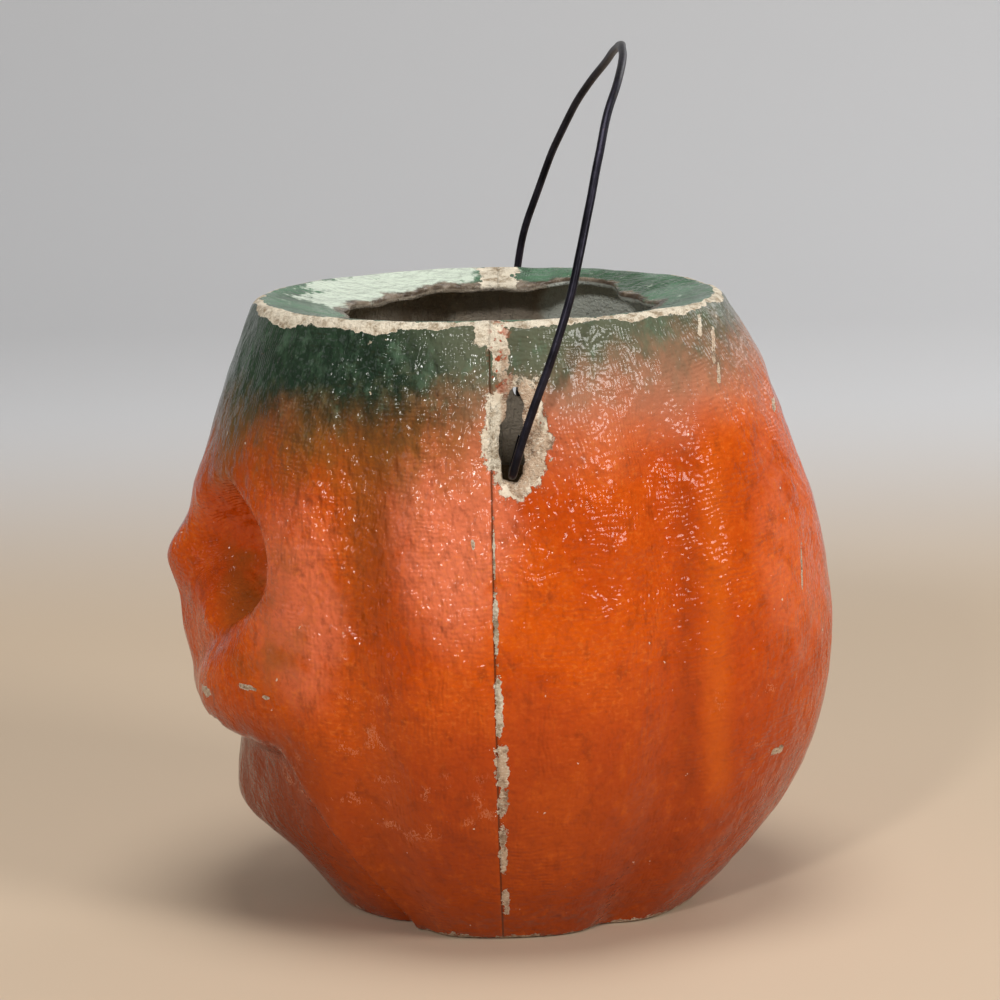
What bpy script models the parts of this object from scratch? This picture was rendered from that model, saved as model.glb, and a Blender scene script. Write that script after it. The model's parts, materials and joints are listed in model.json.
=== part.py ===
"""Papier-mache jack-o'-lantern bucket: two moulded half shells, paper inserts, candle cup and wire bail.

Metres, +Z up. The face looks along -Y, the halves meet in the plane y = 0, and the foot stands on z = 0.
"""

import math

import bmesh
import bpy
from mathutils import Vector

# Driving sizes of the moulded pulp
RIM_HEIGHT = 0.1350
WALL = 0.0022
GAP = 0.0003

# Outline of the plain pumpkin, from the axis, at the foot, at its widest and at the rim
SIDE_FOOT, SIDE_WIDEST, SIDE_RIM = 0.0405, 0.0653, 0.0520
BACK_FOOT, BACK_WIDEST, BACK_RIM = 0.0430, 0.0748, 0.0494
FACE_FOOT, FACE_WIDEST, FACE_RIM = 0.0450, 0.0670, 0.0522
BACK_WIDEST_HEIGHT = 0.062
FACE_WIDEST_HEIGHT = 0.082
BACK_SWELL_BELOW, BACK_SWELL_ABOVE = 2.2, 1.9
FACE_SWELL_BELOW, FACE_SWELL_ABOVE = 2.9, 1.6

# Valleys between the pumpkin's lobes, as degrees from the front
VALLEYS = (64.0, 125.0, 180.0)
VALLEY_DEPTH = 0.0034
VALLEY_WIDTH = 8.0
LOBES_END = 0.122
LOBES_FADE = 0.020

# Rim with its turned-in lip
RIM_ROUND = 0.0030
LIP_SLOPE = 13.0
LIP_SIDE, LIP_FRONT, LIP_BACK = 0.0120, 0.0170, 0.0128
LIP_RAGGED = 0.0009
LIP_TORN_AT, LIP_TORN_SPAN = 240.0, 16.0
LIP_TORN = 0.0055
LIP_THINNING = 0.25

# Foot ring and the raised panel inside it
FOOT_ROUND = 0.0032
FOOT_RING = 0.0060
PANEL_SLOPE = 0.0040
PANEL_RAISE = 0.0030
BRAD_HOLE = 0.0021

# The face. A lump is its place sideways and up, its rise, its half width and half height, and its tilt
NOSE_TIP = 0.0737
NOSE_HEIGHT = 0.0782
NOSE_HALF_WIDTH = 0.0098
NOSE_HALF_HEIGHT = 0.0080
NOSE_BRIDGE = (0.0, 0.0620, 0.0042, 0.0090, 0.0125, 0.0)
BROW = (0.0090, 0.0945, 0.0017, 0.0120, 0.0074, 10.0)
CHEEK = (0.0300, 0.0530, 0.0042, 0.0150, 0.0095, 0.0)
CHEEK_FOLD = (0.0240, 0.0633, -0.0018, 0.0170, 0.0034, 26.0)
UPPER_LIP = (0.0, 0.0490, 0.0016, 0.0250, 0.0042, 0.0)
LOWER_LIP = (0.0, 0.0335, 0.0018, 0.0260, 0.0060, 0.0)
CHIN = (0.0, 0.0225, 0.0074, 0.0225, 0.0090, 0.0)
JAW_HOLLOW = 0.0066
JAW_TOP, JAW_TOP_FADE = 0.0420, 0.0080
JAW_RIDGE_TOP, JAW_RIDGE_FOOT = 46.0, 64.0
JAW_RIDGE_FADE = 5.0
FACE_FADE = 0.30

# Eye sockets, sunk to a level floor and pointed above and below, each with a fold of the brow in its corner
SOCKET_SIDE, SOCKET_HEIGHT = 0.0270, 0.0828
SOCKET_TO_NOSE, SOCKET_TO_TEMPLE, SOCKET_HALF_HEIGHT = 0.0128, 0.0172, 0.0146
SOCKET_EDGE = 8
SOCKET_FLOOR = -0.0470
BROW_FOLD = (0.0180, 0.0905, 0.0022, 0.0050, 0.0050, 0.0)

# Openings in the face
EYE_HALF_WIDTH, EYE_HALF_HEIGHT = 0.0090, 0.0080
MOUTH_HALF_WIDTH = 0.0290
MOUTH_TOP, MOUTH_DROP = 0.0462, 0.0078
MOUTH_CORNER_LIFT, MOUTH_CORNER_OPEN = 0.0004, 0.0008
CUT_FROM, CUT_TO = -0.0900, -0.0200

# Paper glued to the inside
PAPER = 0.0005
PAPER_GAP = 0.0004
EYE_PAPER_HALF_WIDTH, EYE_PAPER_HALF_HEIGHT = 0.0120, 0.0108
MOUTH_PAPER_SPAN = 52.0
MOUTH_PAPER_HEIGHTS = (0.0290, 0.0530)
TAPE_HEIGHTS = (0.0130, 0.0900)

# Candle holder, pinned to the bottom by a split brad
DISC_RADIUS, DISC_THICKNESS = 0.0235, 0.0016
CUP_RADIUS, CUP_HEIGHT, CUP_CURL, CUP_CORNER = 0.0105, 0.0150, 0.0016, 0.0010
TIN = 0.0005
BRAD_HEAD_RADIUS, BRAD_HEAD_TOP_RADIUS, BRAD_HEAD_THICKNESS = 0.0042, 0.0030, 0.0009
BRAD_LEG_WIDTH, BRAD_LEG_THICKNESS, BRAD_LEG_LENGTH = 0.0026, 0.0005, 0.0095

# Wire bail and its holes. The wire runs this far outside the pulp, and its hooks this far inside it
WIRE_RADIUS = 0.00088
PIVOT_HEIGHT = 0.1045
PIVOT_BACK = 0.0043
WIRE_OUTSIDE = 0.0021
HOOK_INSIDE = 0.0053
BAIL_RISE = 0.0872
BAIL_LEAN = 16.5
HOOK_RISE = 0.0072
WIRE_BEND = 0.0017
SLOT_RADIUS, SLOT_TOP = 0.0020, 0.1218
PUNCHED_HOLE = 0.0016
HOLE_CUT_PAST = 0.0060
# Torn edge of the open hole, as shares of its radius and of its height above the pivot
SLOT_EDGE = ((1.05, 0.26), (0.50, 0.55), (0.80, 0.78), (0.30, 1.0), (-0.50, 0.88), (-0.70, 0.64),
             (-1.10, 0.26))
# Half of the bent wire from the pivot to the crown, as shares of the half span and of the rise
ARCH = ((1.0, 0.09), (0.995, 0.20), (0.985, 0.32), (0.950, 0.45), (0.900, 0.56), (0.820, 0.67),
        (0.710, 0.775), (0.575, 0.865), (0.420, 0.935), (0.230, 0.982))
# How far each leg is bent backwards out of the bail's plane there, and at the crown, as shares of the rise
LEG_BOW_NEAR = (0.001, 0.007, 0.016, 0.018, 0.011, 0.005, -0.002, -0.002, 0.002, 0.003)
LEG_BOW_FAR = (-0.025, -0.063, -0.094, -0.103, -0.096, -0.085, -0.068, -0.046, -0.023, -0.009)
CROWN_BOW = -0.002

# Fineness of the surface
FACE_COLUMNS, BACK_COLUMNS = 40, 20
FACE_CROWDING = 0.62
FOOT_ZONE_TOP, FACE_ZONE_TOP = 0.0200, 0.1000
FOOT_ROWS, FACE_ROWS, RIM_ROWS = 4, 24, 8
WIRE_POINTS_PER_SPAN = 2
# Shares of the foot's and of the rim's rounding that lie beside the wall's rows
FOOT_ROUND_SHARE, RIM_ROUND_SHARE = 0.38, 0.67
# Steps round and up between two points whose difference gives the wall's slope
SLOPE_TURN, SLOPE_CLIMB = 0.004, 0.0004

COLOURS = {
    "orange_paint": ((0.72, 0.16, 0.025), 0.38, 0.0),
    "yellow_paper": ((0.74, 0.50, 0.16), 0.7, 0.0),
    "kraft_paper": ((0.45, 0.33, 0.20), 0.8, 0.0),
    "cardboard": ((0.42, 0.31, 0.20), 0.85, 0.0),
    "tin": ((0.55, 0.55, 0.53), 0.4, 1.0),
    "brass": ((0.60, 0.43, 0.16), 0.35, 1.0),
    "dark_wire": ((0.035, 0.03, 0.045), 0.4, 1.0),
}


def clear_scene():
    for old in list(bpy.data.objects):
        bpy.data.objects.remove(old)


def material(name):
    """The Principled material of that name, made once."""
    made = bpy.data.materials.get(name)
    if made is None:
        colour, roughness, metallic = COLOURS[name]
        made = bpy.data.materials.new(name)
        made.use_nodes = True
        shader = made.node_tree.nodes["Principled BSDF"]
        shader.inputs["Base Color"].default_value = (*colour, 1.0)
        shader.inputs["Roughness"].default_value = roughness
        shader.inputs["Metallic"].default_value = metallic
    return made


def add_object(name, data, material_name=None):
    made = bpy.data.objects.new(name, data)
    bpy.context.scene.collection.objects.link(made)
    if material_name:
        data.materials.append(material(material_name))
    return made


def mesh_object(name, bm, material_name=None):
    """Turns a closed bmesh into an object with its faces pointing out."""
    bmesh.ops.recalc_face_normals(bm, faces=bm.faces)
    mesh = bpy.data.meshes.new(name)
    bm.to_mesh(mesh)
    bm.free()
    if material_name:
        mesh.shade_smooth()
        mesh.set_sharp_from_angle(angle=math.radians(35))
    return add_object(name, mesh, material_name)


def boolean(target, tool, operation="DIFFERENCE"):
    tool.hide_render = True
    tool.display_type = "WIRE"
    modifier = target.modifiers.new(tool.name, "BOOLEAN")
    modifier.operation = operation
    modifier.object = tool


def prism(name, outline, start, end, axis, material_name=None):
    """An outline extruded from start to end, along X with (y, z) points or along Y with (x, z) points."""
    bm = bmesh.new()
    corners = [(start, a, b) if axis == "X" else (a, start, b) for a, b in outline]
    face = bm.faces.new([bm.verts.new(corner) for corner in corners])
    grown = bmesh.ops.extrude_face_region(bm, geom=[face])["geom"]
    along = Vector((1, 0, 0)) if axis == "X" else Vector((0, 1, 0))
    moved = [item for item in grown if isinstance(item, bmesh.types.BMVert)]
    bmesh.ops.translate(bm, verts=moved, vec=along * (end - start))
    return mesh_object(name, bm, material_name)


def turned(name, profile, segments, material_name):
    """A ring-shaped solid from a closed outline of (radius, height) points."""
    bm = bmesh.new()
    verts = [bm.verts.new((radius, 0, height)) for radius, height in profile]
    edges = [bm.edges.new((verts[i - 1], verts[i])) for i in range(len(verts))]
    bmesh.ops.spin(bm, geom=verts + edges, cent=(0, 0, 0), axis=(0, 0, 1), dvec=(0, 0, 0),
                   angle=2 * math.pi, steps=segments, use_merge=True)
    return mesh_object(name, bm, material_name)


def ease(low, high, value):
    """0 up to low, 1 from high on, smooth between."""
    share = min(1.0, max(0.0, (value - low) / (high - low)))
    return share * share * (3 - 2 * share)


def swell(height, widest_height, foot, widest, rim, below, above):
    """Outline that swells from the foot to its widest height and closes again to the rim."""
    if height < widest_height:
        return widest - (widest - foot) * (1 - height / widest_height) ** below
    share = (height - widest_height) / (RIM_HEIGHT - widest_height)
    return widest - (widest - rim) * share**above


def side_reach(height):
    return swell(height, BACK_WIDEST_HEIGHT, SIDE_FOOT, SIDE_WIDEST, SIDE_RIM,
                 BACK_SWELL_BELOW, BACK_SWELL_ABOVE)


def back_reach(height):
    return swell(height, BACK_WIDEST_HEIGHT, BACK_FOOT, BACK_WIDEST, BACK_RIM,
                 BACK_SWELL_BELOW, BACK_SWELL_ABOVE)


def face_reach(height):
    return swell(height, FACE_WIDEST_HEIGHT, FACE_FOOT, FACE_WIDEST, FACE_RIM,
                 FACE_SWELL_BELOW, FACE_SWELL_ABOVE)


def hollow(angle, height):
    """Share by which the surface is drawn towards the axis, in the valleys and across the jaw."""
    turn = abs(math.degrees(angle))
    turn = min(turn, 360 - turn)
    valley = max(math.exp(-(((turn - at) / VALLEY_WIDTH) ** 2)) for at in VALLEYS)
    depth = VALLEY_DEPTH * valley * (1 - ease(LOBES_END - LOBES_FADE, LOBES_END, height))
    ridge = JAW_RIDGE_FOOT + (JAW_RIDGE_TOP - JAW_RIDGE_FOOT) * min(1.0, height / JAW_TOP)
    under_mouth = 1 - ease(JAW_TOP - JAW_TOP_FADE / 2, JAW_TOP + JAW_TOP_FADE / 2, height)
    depth += JAW_HOLLOW * under_mouth * (1 - ease(ridge - JAW_RIDGE_FADE, ridge, turn))
    return depth / side_reach(height)


def lump(shape, x, height):
    side, up, rise, half_width, half_height, tilt = shape
    turn = math.radians(tilt)
    aside, above = abs(x) - side, height - up
    along = (aside * math.cos(turn) + above * math.sin(turn)) / half_width
    across = (above * math.cos(turn) - aside * math.sin(turn)) / half_height
    return rise * math.exp(-(along**2) - across**2)


def face_relief(x, height):
    """How far nose, brows, cheeks and lips stand forward of the plain pumpkin."""
    nose_rise = NOSE_TIP - face_reach(NOSE_HEIGHT) - lump(NOSE_BRIDGE, 0, NOSE_HEIGHT)
    nose = (0.0, NOSE_HEIGHT, nose_rise, NOSE_HALF_WIDTH, NOSE_HALF_HEIGHT, 0.0)
    shapes = (nose, NOSE_BRIDGE, BROW, CHEEK, CHEEK_FOLD, UPPER_LIP, LOWER_LIP, CHIN)
    return sum(lump(shape, x, height) for shape in shapes)


def socket_share(x, height):
    """1 in the middle of an eye socket, 0 outside it."""
    aside = abs(x) - SOCKET_SIDE
    across = aside / (SOCKET_TO_TEMPLE if aside > 0 else SOCKET_TO_NOSE)
    along = (height - SOCKET_HEIGHT) / SOCKET_HALF_HEIGHT
    return 1 / (1 + (abs(across) + along**2) ** SOCKET_EDGE)


def on_body(angle, height):
    """Point on the outside of the pulp. Angle 0 is the middle of the face, pi/2 the seam at +X."""
    forward = math.cos(angle)
    reach = face_reach(height) if forward > 0 else back_reach(height)
    drawn = 1 - hollow(angle, height)
    x = side_reach(height) * math.sin(angle) * drawn
    y = -reach * forward * drawn
    if forward > 0:
        y -= face_relief(x, height) * ease(0.0, FACE_FADE, forward)
        y += max(0.0, SOCKET_FLOOR - y) * socket_share(x, height) - lump(BROW_FOLD, x, height)
    return Vector((x, y, height))


def under_skin(angle, height, depth, seam=0.0):
    """Point under the outside of the pulp. At a seam the point is kept in the plane y = seam."""
    across = on_body(angle + SLOPE_TURN, height) - on_body(angle - SLOPE_TURN, height)
    up = on_body(angle, height + SLOPE_CLIMB) - on_body(angle, height - SLOPE_CLIMB)
    normal = across.cross(up).normalized()
    point = on_body(angle, height)
    if seam:
        normal = Vector((normal.x, 0, normal.z)).normalized()
        point.y = seam
    return point - normal * depth


def face_angles():
    """Angles of the face's columns, crowded towards the nose."""
    shares = [-1 + 2 * step / FACE_COLUMNS for step in range(FACE_COLUMNS + 1)]
    return [math.pi / 2 * share * (FACE_CROWDING + (1 - FACE_CROWDING) * share**2) for share in shares]


def back_angles():
    return [math.pi / 2 + math.pi * step / BACK_COLUMNS for step in range(BACK_COLUMNS + 1)]


def row_heights():
    """Heights of the wall's rows, closer together over the face."""
    heights = [FOOT_ROUND * FOOT_ROUND_SHARE]
    wall_top = RIM_HEIGHT - RIM_ROUND * RIM_ROUND_SHARE
    for top, rows in ((FOOT_ZONE_TOP, FOOT_ROWS), (FACE_ZONE_TOP, FACE_ROWS), (wall_top, RIM_ROWS)):
        low = heights[-1]
        heights += [low + (top - low) * step / rows for step in range(1, rows + 1)]
    return heights


def lip_width(angle):
    """Width of the turned-in lip, ragged along its edge and torn away behind the right seam."""
    forward = math.cos(angle)
    width = LIP_SIDE + ((LIP_FRONT if forward > 0 else LIP_BACK) - LIP_SIDE) * forward**2
    ragged = LIP_RAGGED * (math.sin(7 * angle + 1) + 0.6 * math.sin(17 * angle))
    turn = angle - math.radians(LIP_TORN_AT)
    from_tear = math.degrees(math.atan2(math.sin(turn), math.cos(turn)))
    return width + ragged - LIP_TORN * math.exp(-((from_tear / LIP_TORN_SPAN) ** 2))


def shell_line(angle, heights, seam):
    """Outer and inner points along one angle: brad hole, panel, foot ring, wall, rim and lip."""
    foot = on_body(angle, heights[0])
    out = Vector((foot.x, foot.y, 0)).normalized()
    up = Vector((0, 0, 1))
    outer, inner = [], []

    def add(point, normal, depth=WALL):
        outer.append(point)
        inner.append(point - normal * depth)

    flare = on_body(angle, heights[1]) - foot
    start = -math.atan2(flare.dot(out), flare.z)
    ring_out = foot.dot(out) - FOOT_ROUND * math.cos(start)
    ring_in = ring_out - FOOT_RING
    panel = ring_in - PANEL_SLOPE
    for radius in (BRAD_HOLE, (BRAD_HOLE + panel) / 2, panel):
        add(out * radius + up * PANEL_RAISE, -up)
    add(out * ring_in, -up)
    for share in (1.0, 0.67, 0.33):
        turn = start + (-math.pi / 2 - start) * share
        rise = heights[0] * (math.sin(turn) + 1) / (math.sin(start) + 1)
        radius = ring_out + FOOT_ROUND * math.cos(turn)
        add(out * radius + up * rise, out * math.cos(turn) + up * math.sin(turn))
    for height in heights:
        outer.append(under_skin(angle, height, 0, seam))
        inner.append(under_skin(angle, height, WALL, seam))
    top = on_body(angle, heights[-1])
    out = Vector((top.x, top.y, 0)).normalized()
    lean = top - on_body(angle, heights[-1] - SLOPE_CLIMB)
    start = math.atan2(-lean.dot(out), lean.z)
    end = math.radians(90 + LIP_SLOPE)
    centre = top - (out * math.cos(start) + up * math.sin(start)) * RIM_ROUND
    for share in (0.33, 0.67, 1.0):
        turn = start + (end - start) * share
        normal = out * math.cos(turn) + up * math.sin(turn)
        add(centre + normal * RIM_ROUND, normal)
    inward = up * math.cos(end) - out * math.sin(end)
    edge = outer[-1]
    for share in (0.5, 1.0):
        add(edge + inward * lip_width(angle) * share, normal, WALL * (1 - LIP_THINNING * share))
    if seam:
        for point in outer + inner:
            point.y = seam
    return outer, inner


def half_shell(name, angles, heights, seam):
    """One moulded half, lofted line by line, with its outer and inner faces joined along every edge."""
    bm = bmesh.new()
    lines = []
    for place, angle in enumerate(angles):
        at_seam = seam if place in (0, len(angles) - 1) else 0.0
        sides = shell_line(angle, heights, at_seam)
        lines.append([[bm.verts.new(point) for point in side] for side in sides])
    last = len(lines[0][0]) - 1
    for left, right in zip(lines, lines[1:]):
        for side in (0, 1):
            for row in range(last):
                bm.faces.new((left[side][row], right[side][row], right[side][row + 1], left[side][row + 1]))
        for row in (0, last):
            bm.faces.new((left[0][row], right[0][row], right[1][row], left[1][row]))
    for outer, inner in (lines[0], lines[-1]):
        for row in range(last):
            bm.faces.new((outer[row], outer[row + 1], inner[row + 1], inner[row]))
    return mesh_object(name, bm, "orange_paint")


def paper_sheet(name, grid, material_name):
    """A glued-on sheet that follows the inside of the pulp, from a grid of (angle, height, seam)."""
    bm = bmesh.new()
    skins = []
    for depth in (WALL + PAPER_GAP, WALL + PAPER_GAP + PAPER):
        skins.append([[bm.verts.new(under_skin(angle, height, depth, seam)) for angle, height, seam in line]
                      for line in grid])
    columns, rows = len(grid) - 1, len(grid[0]) - 1
    for skin in skins:
        for c in range(columns):
            for r in range(rows):
                bm.faces.new((skin[c][r], skin[c + 1][r], skin[c + 1][r + 1], skin[c][r + 1]))
    top, under = skins
    for c in (0, columns):
        for r in range(rows):
            bm.faces.new((top[c][r], top[c][r + 1], under[c][r + 1], under[c][r]))
    for r in (0, rows):
        for c in range(columns):
            bm.faces.new((top[c][r], top[c + 1][r], under[c + 1][r], under[c][r]))
    return mesh_object(name, bm, material_name)


def face_patch(angles, heights, span, band):
    """The part of the face's grid between two angles and two heights."""
    low, high = (math.radians(turn) for turn in span)
    picked = [height for height in heights if band[0] < height < band[1]]
    return [[(angle, height, 0.0) for height in picked] for angle in angles if low < angle < high]


def eye_outline(side, half_width, half_height):
    """An oval round the middle of an eye socket."""
    steps = 24
    turns = [2 * math.pi * step / steps for step in range(steps)]
    return [(side * SOCKET_SIDE + half_width * math.cos(turn), SOCKET_HEIGHT + half_height * math.sin(turn))
            for turn in turns]


def mouth_outline():
    """A wide grin: a nearly level upper edge and a lower edge that rises to the corners."""
    steps = 14
    shares = [-1 + 2 * step / steps for step in range(steps + 1)]
    corner = MOUTH_TOP + MOUTH_CORNER_LIFT
    lower = [(MOUTH_HALF_WIDTH * share, corner - MOUTH_CORNER_OPEN - MOUTH_DROP * math.sqrt(1 - share**2))
             for share in shares]
    upper = [(MOUTH_HALF_WIDTH * share, MOUTH_TOP + MOUTH_CORNER_LIFT * abs(share))
             for share in reversed(shares)]
    return lower + upper


def front_shell(heights):
    shell = half_shell("front_shell", face_angles(), heights, -GAP / 2)
    for side, name in ((1, "left_eye_cutter"), (-1, "right_eye_cutter")):
        outline = eye_outline(side, EYE_HALF_WIDTH, EYE_HALF_HEIGHT)
        boolean(shell, prism(name, outline, CUT_FROM, CUT_TO, "Y"))
    boolean(shell, prism("mouth_cutter", mouth_outline(), CUT_FROM, CUT_TO, "Y"))


def bail_half_span():
    return side_reach(PIVOT_HEIGHT) + WIRE_OUTSIDE


def hook_plane():
    return side_reach(PIVOT_HEIGHT) - WALL - HOOK_INSIDE


def slot_outline():
    """The bail hole at +X: a round bottom where the wire bears, torn up to a ragged point."""
    turns = [math.radians(turn) for turn in range(-180, 1, 30)]
    bottom = [(PIVOT_BACK + SLOT_RADIUS * math.cos(turn), PIVOT_HEIGHT + SLOT_RADIUS * math.sin(turn))
              for turn in turns]
    rise = SLOT_TOP - PIVOT_HEIGHT
    torn = [(PIVOT_BACK + SLOT_RADIUS * across, PIVOT_HEIGHT + rise * up) for across, up in SLOT_EDGE]
    return bottom + torn


def punched_outline():
    turns = [2 * math.pi * step / 12 for step in range(12)]
    return [(PIVOT_BACK + PUNCHED_HOLE * math.cos(turn), PIVOT_HEIGHT + PUNCHED_HOLE * math.sin(turn))
            for turn in turns]


def rear_shell(heights):
    shell = half_shell("rear_shell", back_angles(), heights, GAP / 2)
    inside, outside = hook_plane() - HOLE_CUT_PAST, bail_half_span() + HOLE_CUT_PAST
    boolean(shell, prism("slot_cutter", slot_outline(), inside, outside, "X"))
    boolean(shell, prism("hole_cutter", punched_outline(), -outside, -inside, "X"))


def seam_tapes(heights):
    """Paper strips that bridge the two side joints on the inside."""
    front, back = face_angles(), back_angles()
    picked = [height for height in heights if TAPE_HEIGHTS[0] < height < TAPE_HEIGHTS[1]]
    left = [(front[-2], 0.0), (front[-1], -GAP / 2), (back[0], GAP / 2), (back[1], 0.0)]
    right = [(back[-2], 0.0), (back[-1], GAP / 2), (front[0], -GAP / 2), (front[1], 0.0)]
    for name, columns in (("left_seam_tape", left), ("right_seam_tape", right)):
        grid = [[(angle, height, seam) for height in picked] for angle, seam in columns]
        paper_sheet(name, grid, "kraft_paper")


def face_papers(heights):
    """Thin papers behind the eyes and the mouth."""
    behind = SOCKET_FLOOR + WALL + GAP
    for side, name in ((1, "left_eye_paper"), (-1, "right_eye_paper")):
        outline = eye_outline(side, EYE_PAPER_HALF_WIDTH, EYE_PAPER_HALF_HEIGHT)
        prism(name, outline, behind, behind + PAPER, "Y", "yellow_paper")
    mouth_span = (-MOUTH_PAPER_SPAN, MOUTH_PAPER_SPAN)
    patch = face_patch(face_angles(), heights, mouth_span, MOUTH_PAPER_HEIGHTS)
    paper_sheet("mouth_paper", patch, "yellow_paper")


def candle_holder():
    """Cardboard disc, tin cup and the brad that pins both to the bottom."""
    disc_low = PANEL_RAISE + WALL + GAP
    disc_top = disc_low + DISC_THICKNESS
    turned("floor_disc", [(BRAD_HOLE, disc_low), (DISC_RADIUS, disc_low), (DISC_RADIUS, disc_top),
                          (BRAD_HOLE, disc_top)], 40, "cardboard")
    low = disc_top + GAP
    rim = low + CUP_HEIGHT
    inside = CUP_RADIUS - TIN
    corner = low + CUP_CORNER
    cup = [(BRAD_HOLE, low), (CUP_RADIUS - CUP_CORNER, low), (CUP_RADIUS, corner),
           (CUP_RADIUS, rim - CUP_CURL), (CUP_RADIUS + CUP_CURL / 2, rim - CUP_CURL / 4),
           (CUP_RADIUS + CUP_CURL, rim - CUP_CURL / 2),
           (CUP_RADIUS + CUP_CURL, rim), (CUP_RADIUS + CUP_CURL / 4, rim + TIN / 2),
           (inside, rim - CUP_CURL), (inside, corner + TIN / 2), (inside - CUP_CORNER, low + TIN),
           (BRAD_HOLE, low + TIN)]
    turned("candle_cup", cup, 32, "tin")

    head_low = low + TIN + GAP
    leg_top = PANEL_RAISE - GAP
    leg_low = leg_top - BRAD_LEG_THICKNESS
    half = BRAD_LEG_THICKNESS
    outline = [(-half, head_low + BRAD_HEAD_THICKNESS / 2), (-half, leg_top), (-BRAD_LEG_LENGTH, leg_top),
               (-BRAD_LEG_LENGTH, leg_low), (BRAD_LEG_LENGTH, leg_low), (BRAD_LEG_LENGTH, leg_top),
               (half, leg_top), (half, head_low + BRAD_HEAD_THICKNESS / 2)]
    legs = prism("brad_legs", outline, -BRAD_LEG_WIDTH / 2, BRAD_LEG_WIDTH / 2, "Y")
    bm = bmesh.new()
    made = bmesh.ops.create_cone(bm, cap_ends=True, segments=20, radius1=BRAD_HEAD_RADIUS,
                                 radius2=BRAD_HEAD_TOP_RADIUS, depth=BRAD_HEAD_THICKNESS)
    bmesh.ops.translate(bm, verts=made["verts"], vec=(0, 0, head_low + BRAD_HEAD_THICKNESS / 2))
    boolean(mesh_object("split_brad", bm, "brass"), legs, "UNION")


def smooth_between(a, b, c, d, share):
    """Point on the smooth curve from b to c, whose neighbours are a and d."""
    return 0.5 * (2 * b + (c - a) * share + (2 * a - 5 * b + 4 * c - d) * share**2
                  + (3 * b - a - 3 * c + d) * share**3)


def bail_leg(side, bows):
    """Arch points of one leg, from the pivot up, measured from the hinge axis."""
    lean = math.radians(BAIL_LEAN)
    up = Vector((0, math.sin(lean), math.cos(lean)))
    backwards = Vector((0, math.cos(lean), -math.sin(lean)))
    span = side * bail_half_span()
    return [Vector((span * out, 0, 0)) + (up * rise + backwards * bow) * BAIL_RISE
            for (out, rise), bow in zip(ARCH, bows)]


def bail_hook(side):
    """The wire's end: up behind the wall, round a tight bend, and out through the hole."""
    lean = math.radians(BAIL_LEAN)
    up = Vector((0, math.sin(lean), math.cos(lean)))
    out = Vector((side, 0, 0))
    points = [out * hook_plane() + up * HOOK_RISE]
    for centre, first in ((hook_plane() + WIRE_BEND, 180), (bail_half_span() - WIRE_BEND, 270)):
        for turn in (first, first + 30, first + 60, first + 90):
            angle = math.radians(turn)
            rise = WIRE_BEND * (1 + math.sin(angle))
            points.append(out * (centre + WIRE_BEND * math.cos(angle)) + up * rise)
    return points


def bail():
    """One length of wire, bent to an arch, its origin on the line through the two holes."""
    lean = math.radians(BAIL_LEAN)
    up = Vector((0, math.sin(lean), math.cos(lean)))
    backwards = Vector((0, math.cos(lean), -math.sin(lean)))
    near, far = bail_leg(1, LEG_BOW_NEAR), bail_leg(-1, LEG_BOW_FAR)
    arch = near + [(up + backwards * CROWN_BOW) * BAIL_RISE] + far[::-1]
    near_hook, far_hook = bail_hook(1), bail_hook(-1)
    knots = [near_hook[-1]] + arch + [far_hook[-1]]
    route = list(near_hook)
    for i in range(len(knots) - 1):
        before, after = knots[max(i - 1, 0)], knots[min(i + 2, len(knots) - 1)]
        for step in range(1, WIRE_POINTS_PER_SPAN + 1):
            route.append(smooth_between(before, knots[i], knots[i + 1], after, step / WIRE_POINTS_PER_SPAN))
    route += far_hook[-2::-1]
    wire = bpy.data.curves.new("bail", "CURVE")
    wire.dimensions = "3D"
    wire.bevel_depth = WIRE_RADIUS
    wire.bevel_resolution = 2
    wire.use_fill_caps = True
    spline = wire.splines.new("POLY")
    spline.points.add(len(route) - 1)
    for point, place in zip(spline.points, route):
        point.co = (*place, 1.0)
    spline.use_smooth = True
    made = add_object("bail", wire, "dark_wire")
    made.location = (0, PIVOT_BACK, PIVOT_HEIGHT)


def build():
    clear_scene()
    heights = row_heights()
    front_shell(heights)
    rear_shell(heights[::2])
    seam_tapes(heights[::2])
    face_papers(heights)
    candle_holder()
    bail()


build()
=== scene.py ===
"""Dresses the papier-mache jack-o'-lantern: a fine pulp skin, paint, wear, papers, tin and wire."""

import json
import math

import bmesh
import bpy
import numpy as np
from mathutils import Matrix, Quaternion, Vector, noise


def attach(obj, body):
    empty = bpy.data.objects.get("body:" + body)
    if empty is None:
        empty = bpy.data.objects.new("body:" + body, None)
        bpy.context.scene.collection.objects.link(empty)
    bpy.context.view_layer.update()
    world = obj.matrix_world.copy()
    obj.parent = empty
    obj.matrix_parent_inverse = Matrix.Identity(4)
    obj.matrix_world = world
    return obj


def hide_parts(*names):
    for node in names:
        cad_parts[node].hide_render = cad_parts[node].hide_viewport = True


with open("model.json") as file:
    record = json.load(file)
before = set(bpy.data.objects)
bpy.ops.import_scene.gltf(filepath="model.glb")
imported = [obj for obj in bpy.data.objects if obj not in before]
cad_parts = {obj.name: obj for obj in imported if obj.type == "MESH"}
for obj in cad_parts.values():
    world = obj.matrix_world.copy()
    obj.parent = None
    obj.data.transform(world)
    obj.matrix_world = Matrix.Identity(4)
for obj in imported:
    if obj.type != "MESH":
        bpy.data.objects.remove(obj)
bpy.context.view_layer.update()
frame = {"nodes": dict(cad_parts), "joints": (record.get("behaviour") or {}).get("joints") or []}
nodes = frame["nodes"]
hinge = Vector(frame["joints"][0]["pos_m"])

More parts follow.
